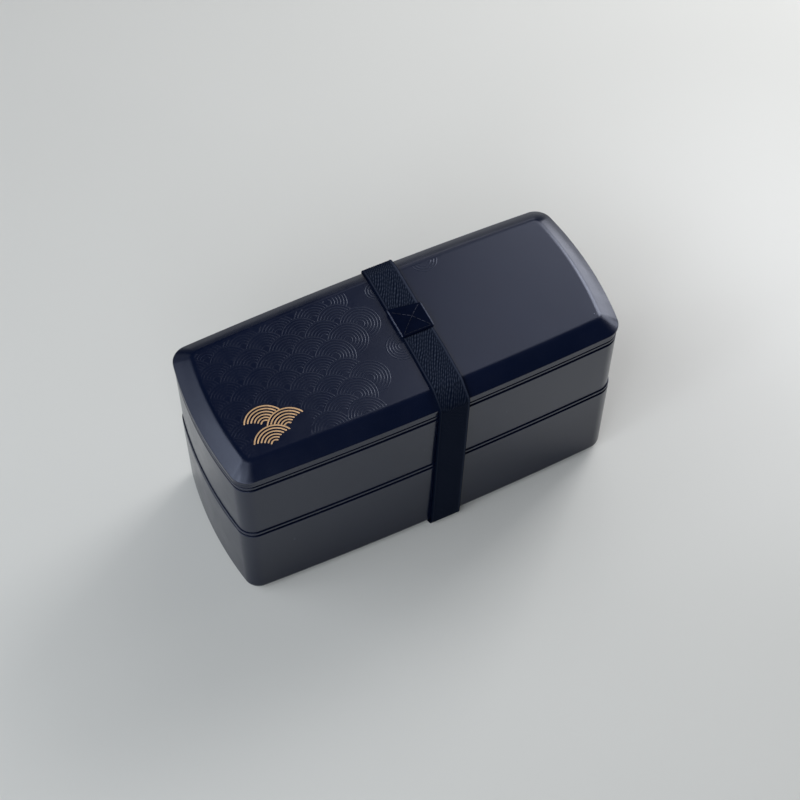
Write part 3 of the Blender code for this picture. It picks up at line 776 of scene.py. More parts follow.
@dataclass
class OuterLid:
    """Outer lid: flat top, soft crease, faintly crowned bevel, lip, skirt, and the rib that finds the mouth; in mm."""

    skirt_low: float = 97.35
    top: float = LID_TOP
    run: float = 8.4
    drop: float = 5.08
    lip: float = 1.52
    top_corner: float = 3.7
    crease: float = 5.2
    crown: float = 0.20
    wall: float = 2.0

    def bevel_corner(self, inset: np.ndarray) -> np.ndarray:
        """Corner radius on the bevel: from the outline's at its foot to the top plane's at its head."""
        change = (self.top_corner * MM - OUTLINE.corner) / (self.run * MM)
        return np.maximum(np.minimum(OUTLINE.corner + change * inset, OUTLINE.corner), self.top_corner * MM - 0.0008)

    def build(self) -> Piece:
        """Build the lid in place of its CAD node.

        Returns:
            The piece.
        """
        run, drop, low = self.run, self.drop, self.skirt_low
        foot = self.top - drop
        lip, under, rib = foot - self.lip, self.top - self.wall, NEST + 1.2
        length = math.hypot(run, drop)
        outside = fillets([
            (run + 11.0, self.top, 0.0), (run, self.top, self.crease),
            (run / 2 - self.crown * drop / length, self.top - drop / 2 + self.crown * run / length, 90.0),
            (0.0, foot, 0.45), (0.0, lip, 0.25), (0.62, lip, 0.1), (0.62, lip - 0.4, 0.0)])
        inside = fillets([
            (0.62, lip - 0.45, 0.0), (0.62, low, 0.4), (NEST, low, 0.15), (NEST, low - 2.2, 0.25),
            (rib, low - 2.2, 0.25), (rib, foot + rib * drop / run - self.wall * (length / run), 0.6),
            (run + 1.0, under, 1.0), (run + 12.0, under, 0.0)])
        section = np.vstack([outside, inside])
        corner = np.where(np.arange(len(section)) < len(outside), self.bevel_corner(section[:, 0]),
                          OUTLINE.concentric(section[:, 0]))
        obj = mesh_object("outer_lid_shell", [skin(OUTLINE.rings(section[:, 0], section[:, 1], corner))],
                          Finish.NAVY, sharp=60)
        return seat(obj, "outer_lid", "navy_plastic", "outer_lid")


@dataclass
class InnerLid:
    """Inner lid of one tier with its seal ring, vent pocket and plug; heights in mm from the flange's underside."""

    level: str
    flange: float
    pocket_radius: float = 12.0
    pocket_floor_radius: float = 9.5
    pocket_floor: float = -2.4
    pocket_base: float = -3.6
    hole_radius: float = 2.8

    def lid_rows(self) -> np.ndarray:
        """Loops of the lid: its section round the outline, then circles down the pocket and back under it.

        The circles' points lie at the polar angles of the outline's points, so the flat panel between the outline
        and the pocket's rim is a set of rays that never cross.

        Returns:
            (loops, points, 3) array that closes on itself.
        """
        skirt, groove, inner, lift = 4.2, 5.5, 6.7, self.flange * MM
        edge, pocket, well = inner + 0.6, self.pocket_radius, self.pocket_floor_radius
        outer = fillets([
            (edge + 6.0, 2.0, 0.0), (edge + 0.6, 2.0, 0.3), (edge, 1.2, 0.3), (NEST, 1.2, 0.25), (NEST, 0.0, 0.2),
            (skirt, 0.0, 0.15), (skirt, -0.7, 0.1), (groove, -0.7, 0.1), (groove, -2.7, 0.1), (skirt, -2.7, 0.1),
            (skirt, -4.0, 0.3), (inner, -4.0, 0.2), (inner, 0.0, 0.2), (edge, 0.0, 0.2), (edge + 0.6, 0.8, 0.2),
            (edge + 6.0, 0.8, 0.0)], steps=4)
        rows = OUTLINE.rings(outer[:, 0], outer[:, 1] + lift)
        inside = fillets([
            (pocket + 2.6, 0.8, 0.0), (pocket + 1.2, 0.8, 0.3), (well + 1.2, self.pocket_base, 0.6),
            (self.hole_radius, self.pocket_base, 0.15), (self.hole_radius, self.pocket_floor, 0.15),
            (well, self.pocket_floor, 0.6), (pocket, 2.0, 0.3), (pocket + 2.6, 2.0, 0.0)], steps=4)
        return np.concatenate([rows, turned(inside, np.arctan2(rows[0, :, 1], rows[0, :, 0]), lift)])

    def seal_rows(self) -> np.ndarray:
        """Loops of the seal ring: a round section, flat on its outer face but for a bell-shaped lip in the middle.

        Returns:
            (loops, points, 3) array that closes on itself.
        """
        turn = np.linspace(0.0, TAU, 20, endpoint=False)
        lip = 0.35 * np.exp(-(np.sin(turn) / 0.35) ** 2) * (np.cos(turn) < 0)
        inset = 3.9 + 0.72 + (0.55 * np.cos(turn) - lip)
        height = -1.7 + 0.68 * np.sin(turn)
        return OUTLINE.rings(np.maximum(inset, 3.9) * MM, (height + self.flange) * MM)

    def plug_parts(self) -> list[Skin]:
        """Skins of the vent plug: a turned head, stem and catch, and the raised grip.

        Returns:
            (points, faces) of both skins.
        """
        head, catch = self.pocket_floor + 0.3, self.pocket_base - 2.3
        section = fillets([
            (0.02, head + 1.0, 0.0), (6.5, head + 1.0, 0.35), (6.5, head, 0.2), (2.5, head, 0.15),
            (2.5, catch, 0.15), (4.0, catch, 0.2), (2.5, catch - 0.8, 0.2), (0.02, catch - 0.8, 0.0)], steps=4)
        base = self.flange + head
        points, faces = skin(rounded_slab((0.008, 0.002), 0.00095, 0.00035, (base + 0.6) * MM, (base + 1.4) * MM))
        stem = turned(section, np.linspace(0.0, TAU, 64, endpoint=False), self.flange * MM)
        return [skin(stem), (points, [face[::-1] for face in faces])]

    def build(self) -> list[Piece]:
        """Build lid, seal and plug in place of their CAD nodes.

        Returns:
            The three pieces.
        """
        level, body = self.level, self.level + "_inner_lid"
        lid = mesh_object(body + "_shell", [skin(self.lid_rows(), closed=True)], Finish.GREY)
        seal = mesh_object(level + "_seal_ring", [skin(self.seal_rows(), closed=True)], Finish.SILICONE)
        plug = mesh_object(level + "_plug_soft", self.plug_parts(), Finish.SILICONE)
        return [seat(lid, body, "grey_plastic", level + "_inner_lid"),
                seat(seal, body, "grey_rubber", level + "_lid_seal"),
                seat(plug, level + "_vent_plug", "grey_rubber", level + "_vent_plug")]


@dataclass
class Divider:
    """Loose partition of one tray: an upright plate with a finger notch, on a flat foot; in mm."""

    level: str
    low: float
    high: float
    ledge_above_floor: float
    x: float = 28.0
    thickness: float = 1.6
    farthest_x: float = 63.0
    notch_half: float = 12.0
    notch_depth: float = 4.0

    def plate_outline(self) -> tuple[np.ndarray, float]:
        """Closed outline across the tray, and half the width of its foot.

        The top edge dips by half a cosine wave into the finger notch.

        Returns:
            Array of (y, z) in metres, anticlockwise from the middle of the underside, and the half width in mm.
        """
        height = self.high - self.low
        inset = BORE + DRAFT * (self.ledge_above_floor - 4.0) + 0.3
        foot = float(OUTLINE.half_width_at(np.array(self.farthest_x * MM), inset * MM)) / MM
        half = fillets([(0.0, 0.0, 0.0), (foot, 0.0, 3.7), (foot + DRAFT * (height - 4.0), height, 3.0),
                        (self.notch_half, height, 0.0)], steps=8)
        share = np.linspace(0.0, 1.0, 25)[1:]
        notch = columns(self.notch_half * (1 - share),
                        height - self.notch_depth * (1 - np.cos(math.pi * share)) / 2) * MM
        half = np.vstack([half, notch])
        return np.vstack([half, half[-2:0:-1] * [-1, 1]]) + [0.0, self.low * MM], foot

    def build(self) -> Piece:
        """Build the divider in place of its CAD node: the outline swept along X with round edges, and its foot.

        Returns:
            The piece.
        """
        ring, foot = self.plate_outline()
        turn = np.linspace(0.0, math.pi / 2, 4)
        edge, half = 0.3 * MM, self.thickness / 2 * MM
        inset = np.concatenate([edge * (1 - np.sin(turn)), edge * (1 - np.cos(turn))])
        place = np.concatenate([-half + edge * (1 - np.cos(turn)), half - edge * (1 - np.sin(turn))])
        yz = ring - outward(ring) * inset[:, None, None]
        plate = columns((place + self.x * MM)[:, None], yz[..., 0], yz[..., 1])
        slab = rounded_slab((0.012, 2 * (foot - 4.0) * MM), 0.0015, 0.0004, self.low * MM, (self.low + 1.4) * MM)
        slab[..., 0] += self.x * MM
        obj = mesh_object(self.level + "_divider_plate", [skin(plate), skin(slab)], Finish.NAVY, merge=True)
        return seat(obj, self.level + "_divider", "navy_plastic", self.level + "_divider")


# Wave scales on the lid


@dataclass
class WaveScales:
    """The traditional wave-scale ornament: raised concentric arcs in staggered rows, with three gilded scales; mm."""

    top: float = LID_TOP
    pitch_x: float = 8.85
    pitch_y: float = 11.5
    slack: float = 0.5
    first_x: float = -38.9
    first_column: int = -8
    bevel_run: float = 8.1
    margin: float = 1.6
    cover: float = 9.6
    radii: tuple[float, ...] = (2.0, 3.45, 4.9, 6.35, 7.8, 9.2)
    even_rows: tuple[float, ...] = (30.4, 18.9, 7.4, -4.1, -15.6, -27.1)
    odd_rows: tuple[float, ...] = (24.65, 13.15, 1.65, -9.85, -21.35, -32.85)
    last_even: tuple[int, ...] = (2, 2, 2, 0, 2, 0)
    last_odd: tuple[int, ...] = (1, 3, 1, 1, 1, 1)
    loose: tuple[tuple[Pair, tuple[float, ...]], ...] = (
        ((-0.2, -6.2), (2.0, 3.35, 4.7, 6.05, 7.4)), ((1.8, 26.9), (2.2, 3.5, 4.8)), ((29.5, 33.0), (3.4, 4.8, 6.2)))
    gilded: tuple[Pair, ...] = ((-73.0, -17.5), (-64.2, -23.0), (-73.0, -28.8))
    gilded_radii: tuple[float, ...] = (9.6, 8.1, 6.55, 5.0, 3.5, 2.0)
    gilded_hidden_by: tuple[Pair, ...] = ((-82.1, -23.9), (-55.4, -28.8), (-82.1, -35.3), (-64.2, -34.5))
    line_width: float = 0.62
    line_height: float = 0.058
    worn_height: float = 0.036

    def centres(self) -> np.ndarray:
        """Centres of the raised scales: two sets of columns, staggered by half a pitch, each row to its last column.

        Returns:
            Array of (x, y) in mm.
        """
        found = []
        for rows, lasts, parity in ((self.even_rows, self.last_even, 0), (self.odd_rows, self.last_odd, 1)):
            for y, last in zip(rows, lasts):
                number = np.arange(self.first_column + parity, last + 1, 2)
                found.append(columns(self.first_x + self.pitch_x * number, y))
        return np.vstack(found)

    def on_plane(self, points: np.ndarray) -> np.ndarray:
        """Whether points lie on the flat top plane, with a margin to its crease.

        Args:
            points: (x, y) in mm along the last axis.

        Returns:
            True or False for each point.
        """
        edge = (self.bevel_run + self.margin) * MM
        half_width = OUTLINE.half_width_at(points[..., 0] * MM, edge) / MM
        end = OUTLINE.length / 2 - OUTLINE.end_radius
        half_length = (end + np.sqrt((OUTLINE.end_radius - edge) ** 2 - (points[..., 1] * MM) ** 2)) / MM
        return (np.abs(points[..., 1]) < half_width) & (np.abs(points[..., 0]) < half_length)

    def visible_runs(self, centre: np.ndarray, radius: float, covers: Sequence, cover: float,
                     keep: Sequence = ()) -> list[np.ndarray]:
        """Angles of the stretches of one arc that no scale in front covers and that lie on the top plane.

        Args:
            centre: the scale's centre.
            radius: the arc's radius.
            covers: centres of the scales in front.
            cover: how far each of them reaches.
            keep: centres of scales whose disks are left free for gilding.

        Returns:
            One array of angles for each stretch.
        """
        count = max(48, int(TAU * radius / 0.08))
        angle = np.linspace(0.0, TAU, count, endpoint=False)
        points = centre + radius * columns(np.cos(angle), np.sin(angle))
        shown = self.on_plane(points)
        for hiding, reach in ((covers, cover), (keep, cover + 0.5)):
            if len(hiding):
                shown &= (np.linalg.norm(points[:, None] - np.array(hiding), axis=-1) > reach).all(1)
        if shown.all():
            return [np.linspace(0.0, TAU, count)]
        start = int(np.argmin(shown))
        shown, angle = np.roll(shown, -start), np.roll(np.unwrap(angle), -start)
        angle = np.where(angle < angle[0], angle + TAU, angle)
        edges = np.flatnonzero(np.diff(np.concatenate([[0], shown.astype(int), [0]])))
        runs = [angle[first:last] for first, last in zip(edges[::2], edges[1::2])]
        return [run for run in runs if (run[-1] - run[0]) * radius > 0.9]

    def ridge(self, centre: np.ndarray, radius: float, run: np.ndarray, width: float, height: float,
              step: float = 0.75) -> Skin:
        """One raised line: a low rounded section carried along an arc, drawn down to nothing at its ends.

        The ends are scaled by the root of a quarter circle over their last half width, and the foot is sunk under
        the plane.

        Args:
            centre: centre of the arc.
            radius: its radius.
            run: its angles.
            width: width of the line.
            height: height of the line.
            step: length of a segment.

        Returns:
            Points in metres, and faces.
        """
        length = (run[-1] - run[0]) * radius
        whole = run[-1] - run[0] > TAU - 1e-6
        count = max(6, int(length / step))
        if whole:
            angle = np.linspace(run[0], run[-1], count + 1)[:-1]
            taper = np.ones(len(angle))
        else:
            near = min(width * 0.5, length / 4) / radius
            angle = np.concatenate([[run[0], run[0] + near * 0.35], np.linspace(run[0] + near, run[-1] - near, count),
                                    [run[-1] - near * 0.35, run[-1]]])
            reach = np.minimum(angle - run[0], run[-1] - angle) / near
            taper = np.sqrt(np.clip(1 - (1 - np.clip(reach, 0.04, 1)) ** 2, 0.0, 1.0))
        across = np.array([-0.5, -0.5, -0.30, 0.0, 0.30, 0.5, 0.5]) * width
        lift = np.array([-0.04 / height, 0.06, 0.78, 1.0, 0.78, 0.06, -0.04 / height]) * height
        place = radius + across * taper[:, None]
        points = columns(centre[0] + place * np.cos(angle)[:, None], centre[1] + place * np.sin(angle)[:, None],
                         self.top + np.where(lift > 0, lift * taper[:, None], lift))
        return skin(points * MM, closed=whole)

    def gild(self) -> Piece:
        """Build the three overlapping gilded scales; a lower scale lies in front of a higher one.

        Returns:
            The piece.
        """
        others = np.array(self.gilded + self.gilded_hidden_by)
        parts = [self.ridge(centre, radius, run, 0.70, 0.10, 0.45)
                 for centre in np.array(self.gilded) for radius in self.gilded_radii
                 for run in self.visible_runs(centre, radius, others[others[:, 1] < centre[1] - 0.1], 9.95)]
        return seat(mesh_object("gilded_scales", parts, Finish.GOLD, sharp=70, merge=True), "outer_lid",
                    "navy_plastic")

    def emboss(self) -> Piece:
        """Build the raised scales, each cut off by its neighbours in front, and lower towards the left end.

        Returns:
            The piece.
        """
        centres = self.centres()
        parts = []
        for centre in centres:
            aside, apart = np.abs(centres[:, 0] - centre[0]), centres[:, 1] - centre[1]
            front = centres[(np.abs(aside - self.pitch_x) < self.slack)
                            & (np.abs(apart + self.pitch_y / 2) < self.slack)
                            | (aside < self.slack) & (np.abs(apart + self.pitch_y) < self.slack)]
            height = float(np.interp(centre[0], (-70.0, -30.0), (self.worn_height, self.line_height)))
            parts += [self.ridge(centre, radius, run, self.line_width, height) for radius in self.radii
                      for run in self.visible_runs(centre, radius, front, self.cover, self.gilded)]
        parts += [self.ridge(np.array(centre), radius, run, self.line_width, self.line_height)
                  for centre, radii in self.loose for radius in radii
                  for run in self.visible_runs(np.array(centre), radius, (), 0.0)]
        return seat(mesh_object("raised_scales", parts, Finish.RELIEF, sharp=70, merge=True), "outer_lid",
                    "navy_plastic")


# Elastic band


@dataclass
class ElasticBand:
    """The woven band: a closed loop under the foot, up both walls, over the bevels and along the top; in mm.

    Each wall run is cut at the levels.
    """

    width: float = 15.4
    thickness: float = 1.2
    centre_x: float = 8.9
    lean: float = 3.5
    lean_start_y: float = -15.0
    back_drift: float = 1.1
    crease_y: float = 33.8
    half_width: float = 41.9
    bevel: Pair = (8.1, 4.9)
    side: float = 42.2
    top: float = 107.7
    base: float = 1.2
    wale: float = 1.12
    slant: float = 0.487
    float_length: float = 2.1
    relief: float = 0.17
    step: float = 0.40
    columns: int = 66
    levels: tuple[float, ...] = (9.0, 36.0, 60.0, 80.0, 97.0)
    bodies: tuple[str, ...] = ("base", "lower_inner_lid", "upper_tray", "upper_inner_lid", "outer_lid")
    grid: dict = field(default_factory=dict)

    def path(self) -> np.ndarray:
        """Inner face of the band in the YZ plane, at even steps along a line with round corners.

        Returns:
            Closed array of (y, z) in metres, anticlockwise seen from +X, from the middle of the underside.
        """
        run, drop = self.bevel
        slope = math.hypot(run, drop)
        top_half = self.half_width - run + 0.3 * (slope - run) / drop
        shoulder = LID_TOP - drop + 0.3 * (slope - drop) / run
        line = fillets([
            (0.0, self.base, 0.0), (self.side, self.base, 5.0), (self.side, shoulder, 2.5), (top_half, self.top, 3.0),
            (-top_half, self.top, 3.0), (-self.side, shoulder, 2.5), (-self.side, self.base, 5.0),
            (0.0, self.base, 0.0)], steps=24)
        way = np.concatenate([[0.0], np.cumsum(np.linalg.norm(np.diff(line, axis=0), axis=1))])
        even = np.linspace(0.0, way[-1], int(way[-1] / (self.step * MM)), endpoint=False)
        return columns(*(np.interp(even, way, axis) for axis in line.T))

    def shift(self, path: np.ndarray) -> np.ndarray:
        """Drift of the band along X: it leans as it comes down the front, and the other way down the back bevel.

        Args:
            path: the inner face.

        Returns:
            Shift of each path point, in metres.
        """
        way = np.arange(len(path)) * self.step * MM
        above = path[:, 1] > (self.base + 0.05) * MM
        begin = way[np.argmax((path[:, 0] < self.lean_start_y * MM) & above)]
        lowest = way[len(path) - 1 - np.argmax((above & (path[:, 0] < 0))[::-1])]
        down = np.clip((way - begin) / (lowest - begin), 0.0, 1.0)
        back = np.clip((way - lowest) / (way[-1] - lowest), 0.0, 1.0)
        y = path[:, 0] / MM
        rear = np.where(path[:, 1] < 0.05, y / self.side, (y - self.crease_y) / (self.side - self.crease_y))
        return (-self.lean * down * (1 - back) + self.back_drift * np.clip(rear, 0.0, 1.0)) * MM

    def relief_at(self, across: np.ndarray, along: np.ndarray) -> tuple[np.ndarray, np.ndarray]:
        """Height of the weave's floats, from 0 in the valleys to 1 on the crowns, and how pale the selvedge is.

        The wales run askew: their place is the way across plus the slant times the way along, and each is a hump,
        the sine squared of its pitch. Along it each wale has floats, the sine squared of a length of its own, from
        a start of its own; both are the fraction of a large multiple of the sine of the wale's number. A smooth
        cord lies along both edges, paler on the right one.

        Args:
            across: place across the band in mm, from its middle.
            along: place along the band in mm.

        Returns:
            The two arrays.
        """
        wobble = 0.30 * np.sin(along / 3.1 + 1.7 * np.sin(across / 2.3)) + 0.22 * np.sin(along / 7.7 + across)
        place = across + self.slant * along + wobble
        number = np.floor(place / self.wale)
        hump = np.sin(math.pi * (place / self.wale - number)) ** 2
        phase = np.modf(np.sin(number * 12.9898) * 43758.5453)[0]
        length = self.float_length * (1 + 0.28 * np.modf(np.sin(number * 78.233) * 9631.27)[0])
        drift = 0.35 * np.sin(along / 2.7 + number) + 0.20 * np.sin(along / 1.3 + 2.1 * number)
        floats = np.sin(math.pi * ((along + drift) / length + phase)) ** 2
        cord = np.clip(1 - ((self.width / 2 - 0.75 - np.abs(across)) / 0.62) ** 2, 0.0, 1.0)
        edge = np.abs(across) > self.width / 2 - 1.45
        ribbed = cord * np.where(across > 0, 0.86, 0.52) + cord * 0.14 * np.sin(TAU * along / 0.9)
        return (np.where(edge, ribbed, hump * (0.42 + 0.58 * floats)),
                np.where(edge, np.where(across > 0, 0.55, 0.08), 0.0))

    def make_grid(self) -> None:
        """Work out the whole band as one closed grid: section points round, path points along.

        A section point at (u, n) lies at the path point, moved n along the path's outward normal and u along X.
        The height that the finish reads is lowered on the walls, so the crowns' painted light is weaker there: painted
        shade on the walls, which get less light than the lid.
        """
        path = self.path()
        half, edge = self.width / 2, self.thickness / 2
        round_off = np.linspace(0.0, math.pi, 7)[1:-1]
        u = np.concatenate([np.linspace(half - 0.45, -half + 0.45, self.columns),
                            -half + 0.45 - 0.45 * np.sin(round_off), np.linspace(-half + 0.5, half - 0.5, 7),
                            half - 0.45 + 0.45 * np.sin(round_off)])
        n = np.concatenate([np.full(self.columns, self.thickness), edge + edge * np.cos(round_off),
                            np.zeros(7), edge - edge * np.cos(round_off)])
        across, along = np.meshgrid(u, np.arange(len(path)) * self.step)
        height, selvedge = self.relief_at(across, along)
        on_face = (np.arange(len(u)) < self.columns).astype(float)
        x = (self.centre_x + across * (1 - 0.006 * np.sin(along / 9.0))) * MM + self.shift(path)[:, None]
        lifted = n + (height - 1.0) * self.relief * on_face
        yz = path[:, None] + outward(path)[:, None] * lifted[..., None] * MM
        points = columns(x, yz[..., 0], yz[..., 1])
        normal = np.cross(passing(points, 1), passing(points))
        normal /= np.linalg.norm(normal, axis=-1, keepdims=True) + 1e-20
        self.grid = {
            "points": points, "normal": normal, "path": path, "across": across,
            # Painted shade: the float height that paints the crowns lighter is lowered on the walls.
            "float_height": height * on_face * np.interp(path[:, 1], (0.104, 0.107), (0.58, 1.0))[:, None],
            "selvedge": selvedge * on_face * np.interp(path[:, 0], (-0.006, 0.008), (0.35, 1.0))[:, None],
        }

    def piece(self, name: str, first: int, last: int) -> Piece:
        """Build the band from one path point to another, both kept, with closed ends.

        Args:
            name: the piece's name.
            first: number of the first path point; less than 0 counts back from the start.
            last: number of the last path point.

        Returns:
            The piece, with its UV map, its float_height and selvedge attributes, and the whole band's normals.
        """
        chosen = np.arange(first, last + 1)
        rows = chosen % len(self.grid["path"])
        across = self.grid["across"][rows]
        obj = mesh_object(name, [skin(self.grid["points"][rows])], Finish.WEBBING, sharp=180)
        mesh = obj.data
        for key in ("float_height", "selvedge"):
            layer = mesh.attributes.new(key, "FLOAT", "POINT")
            layer.data.foreach_set("value", self.grid[key][rows].astype(np.float32).ravel())
        corner = np.empty(len(mesh.loops), np.int32)
        mesh.loops.foreach_get("vertex_index", corner)
        flat = columns(across, (chosen * self.step)[:, None])
        mesh.uv_layers.new(name="across_along").data.foreach_set(
            "uv", flat.reshape(-1, 2)[corner].astype(np.float32).ravel())
        mesh.normals_split_custom_set_from_vertices(self.grid["normal"][rows].reshape(-1, 3).tolist())
        return obj

    def crossing(self, height: float, front: bool) -> int:
        """Find the path point on one wall that lies nearest a height.

        Args:
            height: the height in mm.
            front: whether the front wall is meant.

        Returns:
            The point's number.
        """
        path = self.grid["path"]
        wall = ((path[:, 0] < 0) == front) & (np.abs(path[:, 0]) > 0.040)
        return int(np.argmin(np.abs(path[:, 1] - height * MM) + np.where(wall, 0.0, 1.0)))

    def build(self) -> list[Piece]:
        """Build the run under the foot, the stretches on both walls and the run over the lid.

        Returns:
            The pieces.
        """
        self.make_grid()
        path, low, high = self.grid["path"], self.levels[0], self.levels[-1]
        under = self.piece("band_under_foot", self.crossing(low, True) - len(path), self.crossing(low, False))
        over = self.piece("band_over_lid", self.crossing(high, False), self.crossing(high, True))
        built = [seat(under, "base", "black_webbing", "strap_band"),
                 seat(over, "outer_lid", "black_webbing", "strap_band")]
        for number in range(1, len(self.levels)):
            for front in (True, False):
                ends = [self.crossing(level, front) for level in self.levels[number - 1:number + 1]]
                obj = self.piece(f"band_{'front' if front else 'back'}_{number}", *sorted(ends))
                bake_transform(obj)
                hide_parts("strap_band")
                built.append(obj)
        return built


@dataclass
class BandPatch:
    """The smooth patch over the band's lapped ends: far end cut askew, sealed sides, a sewn cross; in mm."""

    centre: Pair = (9.1, 4.2)
    size: Pair = (15.9, 16.0)
    low: float = 108.75
    high: float = 109.95
    skew: float = 0.17
    margin: float = 1.2
    stitch: float = 1.75
    pause: float = 0.60
    thread: float = 0.14
    rim: float = 0.30

    def laid(self, points: np.ndarray) -> np.ndarray:
        """Carry points from the patch's own square to its place on the band.

        The far end is cut askew: y falls by the skew times x, times the square of the share of the way from the near
        end. The height rises by 0.12 mm less its share at the square of the way to a side, and falls by 0.22 mm
        times the fourth power of that way, so that the sides hug the band.

        Args:
            points: places in metres, from the patch's middle, with their heights.

        Returns:
            The same array, in the box's frame.
        """
        x, y = points[..., 0], points[..., 1]
        share = np.clip(y / (self.size[1] * MM) + 0.5, 0.0, 1.0)
        side = np.abs(x) / (self.size[0] / 2 * MM)
        rise = (0.12 * (1 - side ** 2) - 0.22 * side ** 4) * MM
        return columns(x + self.centre[0] * MM, y - self.skew * x * share ** 2 + self.centre[1] * MM,
                       points[..., 2] + rise)

    def bead(self, line: np.ndarray, across: Pair, girth: np.ndarray, sides: int) -> Skin:
        """A round bead: at each point of the line, a circle spanned by the way across and the upright.

        Args:
            line: (points, 3) middle line in mm, from the patch's middle.
            across: unit vector across the line.
            girth: radius at each point, in mm.
            sides: points on each circle.

        Returns:
            Its skin, laid on the band.
        """
        turn = np.linspace(0.0, TAU, sides, endpoint=False)[:, None]
        circle = np.cos(turn) * [*across, 0.0] + np.sin(turn) * [0.0, 0.0, 1.0]
        return skin(self.laid((line[:, None] + girth[:, None, None] * circle) * MM))

    def cloth(self) -> Piece:
        """Build the patch: a thin slab with soft edges, and a fan of rings over its top, faintly dimpled by sines.

        Returns:
            The piece.
        """
        rows = rounded_slab((self.size[0] * MM, self.size[1] * MM), 0.0008, 0.0005, self.low * MM, self.high * MM, 6)
        share = np.linspace(0.12, 0.97, 14)[::-1, None, None]
        fan = rows[-1] * [0.0, 0.0, 1.0] * (1 - share) + rows[-1] * share
        fan[..., 2] += 0.00005 * np.sin(fan[..., 0] * 1400) * np.sin(fan[..., 1] * 900)
        obj = mesh_object("band_patch", [skin(self.laid(np.concatenate([rows, fan])))], Finish.PATCH, sharp=80,
                          merge=True)
        return seat(obj, "outer_lid", "black_patch", "strap_patch")

    def sealed_sides(self) -> Piece:
        """Build the sealed sides: a thin bead along each, which swells and thins a little.

        The bead's radius is b times the root of one less the twelfth power of the way from the middle, times a slow
        wave, so both ends are closed to a point.

        Returns:
            The piece.
        """
        way = np.linspace(-1.0, 1.0, 80)
        taper = np.sqrt(np.clip(1 - way ** 12, 0.001, 1.0))
        girth = self.rim * taper * (1 + 0.10 * np.sin(17 * way) + 0.06 * np.sin(41 * way))
        line = columns(0.0, way * (self.size[1] / 2 - 0.3), self.high - 0.16)
        parts = [self.bead(line + [sign * (self.size[0] / 2 - 0.10), 0.0, 0.0], (1.0, 0.0), girth, 12)
                 for sign in (-1, 1)]
        return seat(mesh_object("patch_sealed_sides", parts, Finish.SEALED_EDGE, sharp=80, merge=True), "outer_lid",
                    "black_patch")

    def stitch_line(self, start: Pair, stop: Pair) -> list[Skin]:
        """A row of stitches between two points, each an arched thread that dips into the cloth at both ends.

        Along a stitch the height is the root of a half circle's, and the thread is round.

        Args:
            start: first point, in mm from the patch's middle.
            stop: last point.

        Returns:
            (points, faces) of each stitch.
        """
        begin, whole = np.array(start), np.array(stop) - np.array(start)
        length = float(np.linalg.norm(whole))
        direction = whole / length
        count = max(1, round(length / (self.stitch + self.pause)))
        pitch = length / count
        way = np.linspace(-0.5, 0.5, 11)
        along = way * (pitch - self.pause + 0.25)
        arch = np.sqrt(np.clip(1 - (2 * way) ** 2, 0.0, 1.0)) * 0.20 - 0.12
        girth = self.thread * (0.55 + 0.45 * np.sqrt(np.clip(1 - (2 * way) ** 4, 0.0, 1.0)))
        run = begin + direction * (along + pitch * (np.arange(count)[:, None] + 0.5))[..., None]
        lines = columns(run[..., 0], run[..., 1], self.high + arch)
        return [self.bead(line, (-direction[1], direction[0]), girth, 8) for line in lines]

    def threads(self) -> Piece:
        """Build the sewn cross, and the row along the near end.

        Returns:
            The piece.
        """
        x, y = self.size[0] / 2 - self.margin, self.size[1] / 2 - self.margin
        bend, near = (0.8, 1.2), 0.8 - self.size[1] / 2
        lines = [((-x, -y), (x, y)), ((-x, y - 1.0), bend), (bend, (x, -y)), ((-x, near), (x, near))]
        parts = [part for line in lines for part in self.stitch_line(*line)]
        return seat(mesh_object("patch_stitches", parts, Finish.THREAD, sharp=80, merge=True), "outer_lid",
                    "black_patch")


# Studio


def stand(name: str, data: bpy.types.ID, right: Sequence, up: Sequence, back: Sequence, place: Sequence) -> Piece:
    """Stand a light or a camera in the scene.

    Args:
        name: the object's name.
        data: the light or camera.
        right: direction of its X axis.
        up: direction of its Y axis.
        back: direction of its Z axis.
        place: where it stands.

    Returns:
        The object.
    """
    obj = bpy.data.objects.new(name, data)
    obj.matrix_world = Matrix((*columns(right, up, back, place).tolist(), (0, 0, 0, 1)))
    bpy.context.scene.collection.objects.link(obj)
    return obj


class Source(Enum):
    """Where a panel stands: its distance, and the tint of its light."""

    WINDOW = 0.9, (0.97, 0.98, 1.05)
    ROOM = 1.5, (0.92, 0.98, 1.10)


@dataclass(frozen=True)
class Panel:
    """A soft light panel, placed round the box by its bearing and its height in degrees."""

    name: str
    source: Source
    bearing: float
    height: float
    size: Pair
    radiance: float

    def build(self) -> Piece:
        """Build the panel, turned to face the box; a panel's power is its radiance times its area times pi.

        Returns:
            The light.
        """
        distance, tint = self.source.value
        turn, rise = math.radians(self.bearing), math.radians(self.height)
        away = np.array([math.cos(turn) * math.cos(rise), math.sin(turn) * math.cos(rise), math.sin(rise)])
        data = bpy.data.lights.new(self.name, "AREA")
        data.shape = "RECTANGLE"
        data.size, data.size_y = self.size
        data.energy = self.radiance * self.size[0] * self.size[1] * math.pi
        data.color = tint
        side = np.array([-math.sin(turn), math.cos(turn), 0.0])
        return stand(self.name, data, side, np.cross(away, side), away, away * distance + [0.0, 0.0, 0.05])


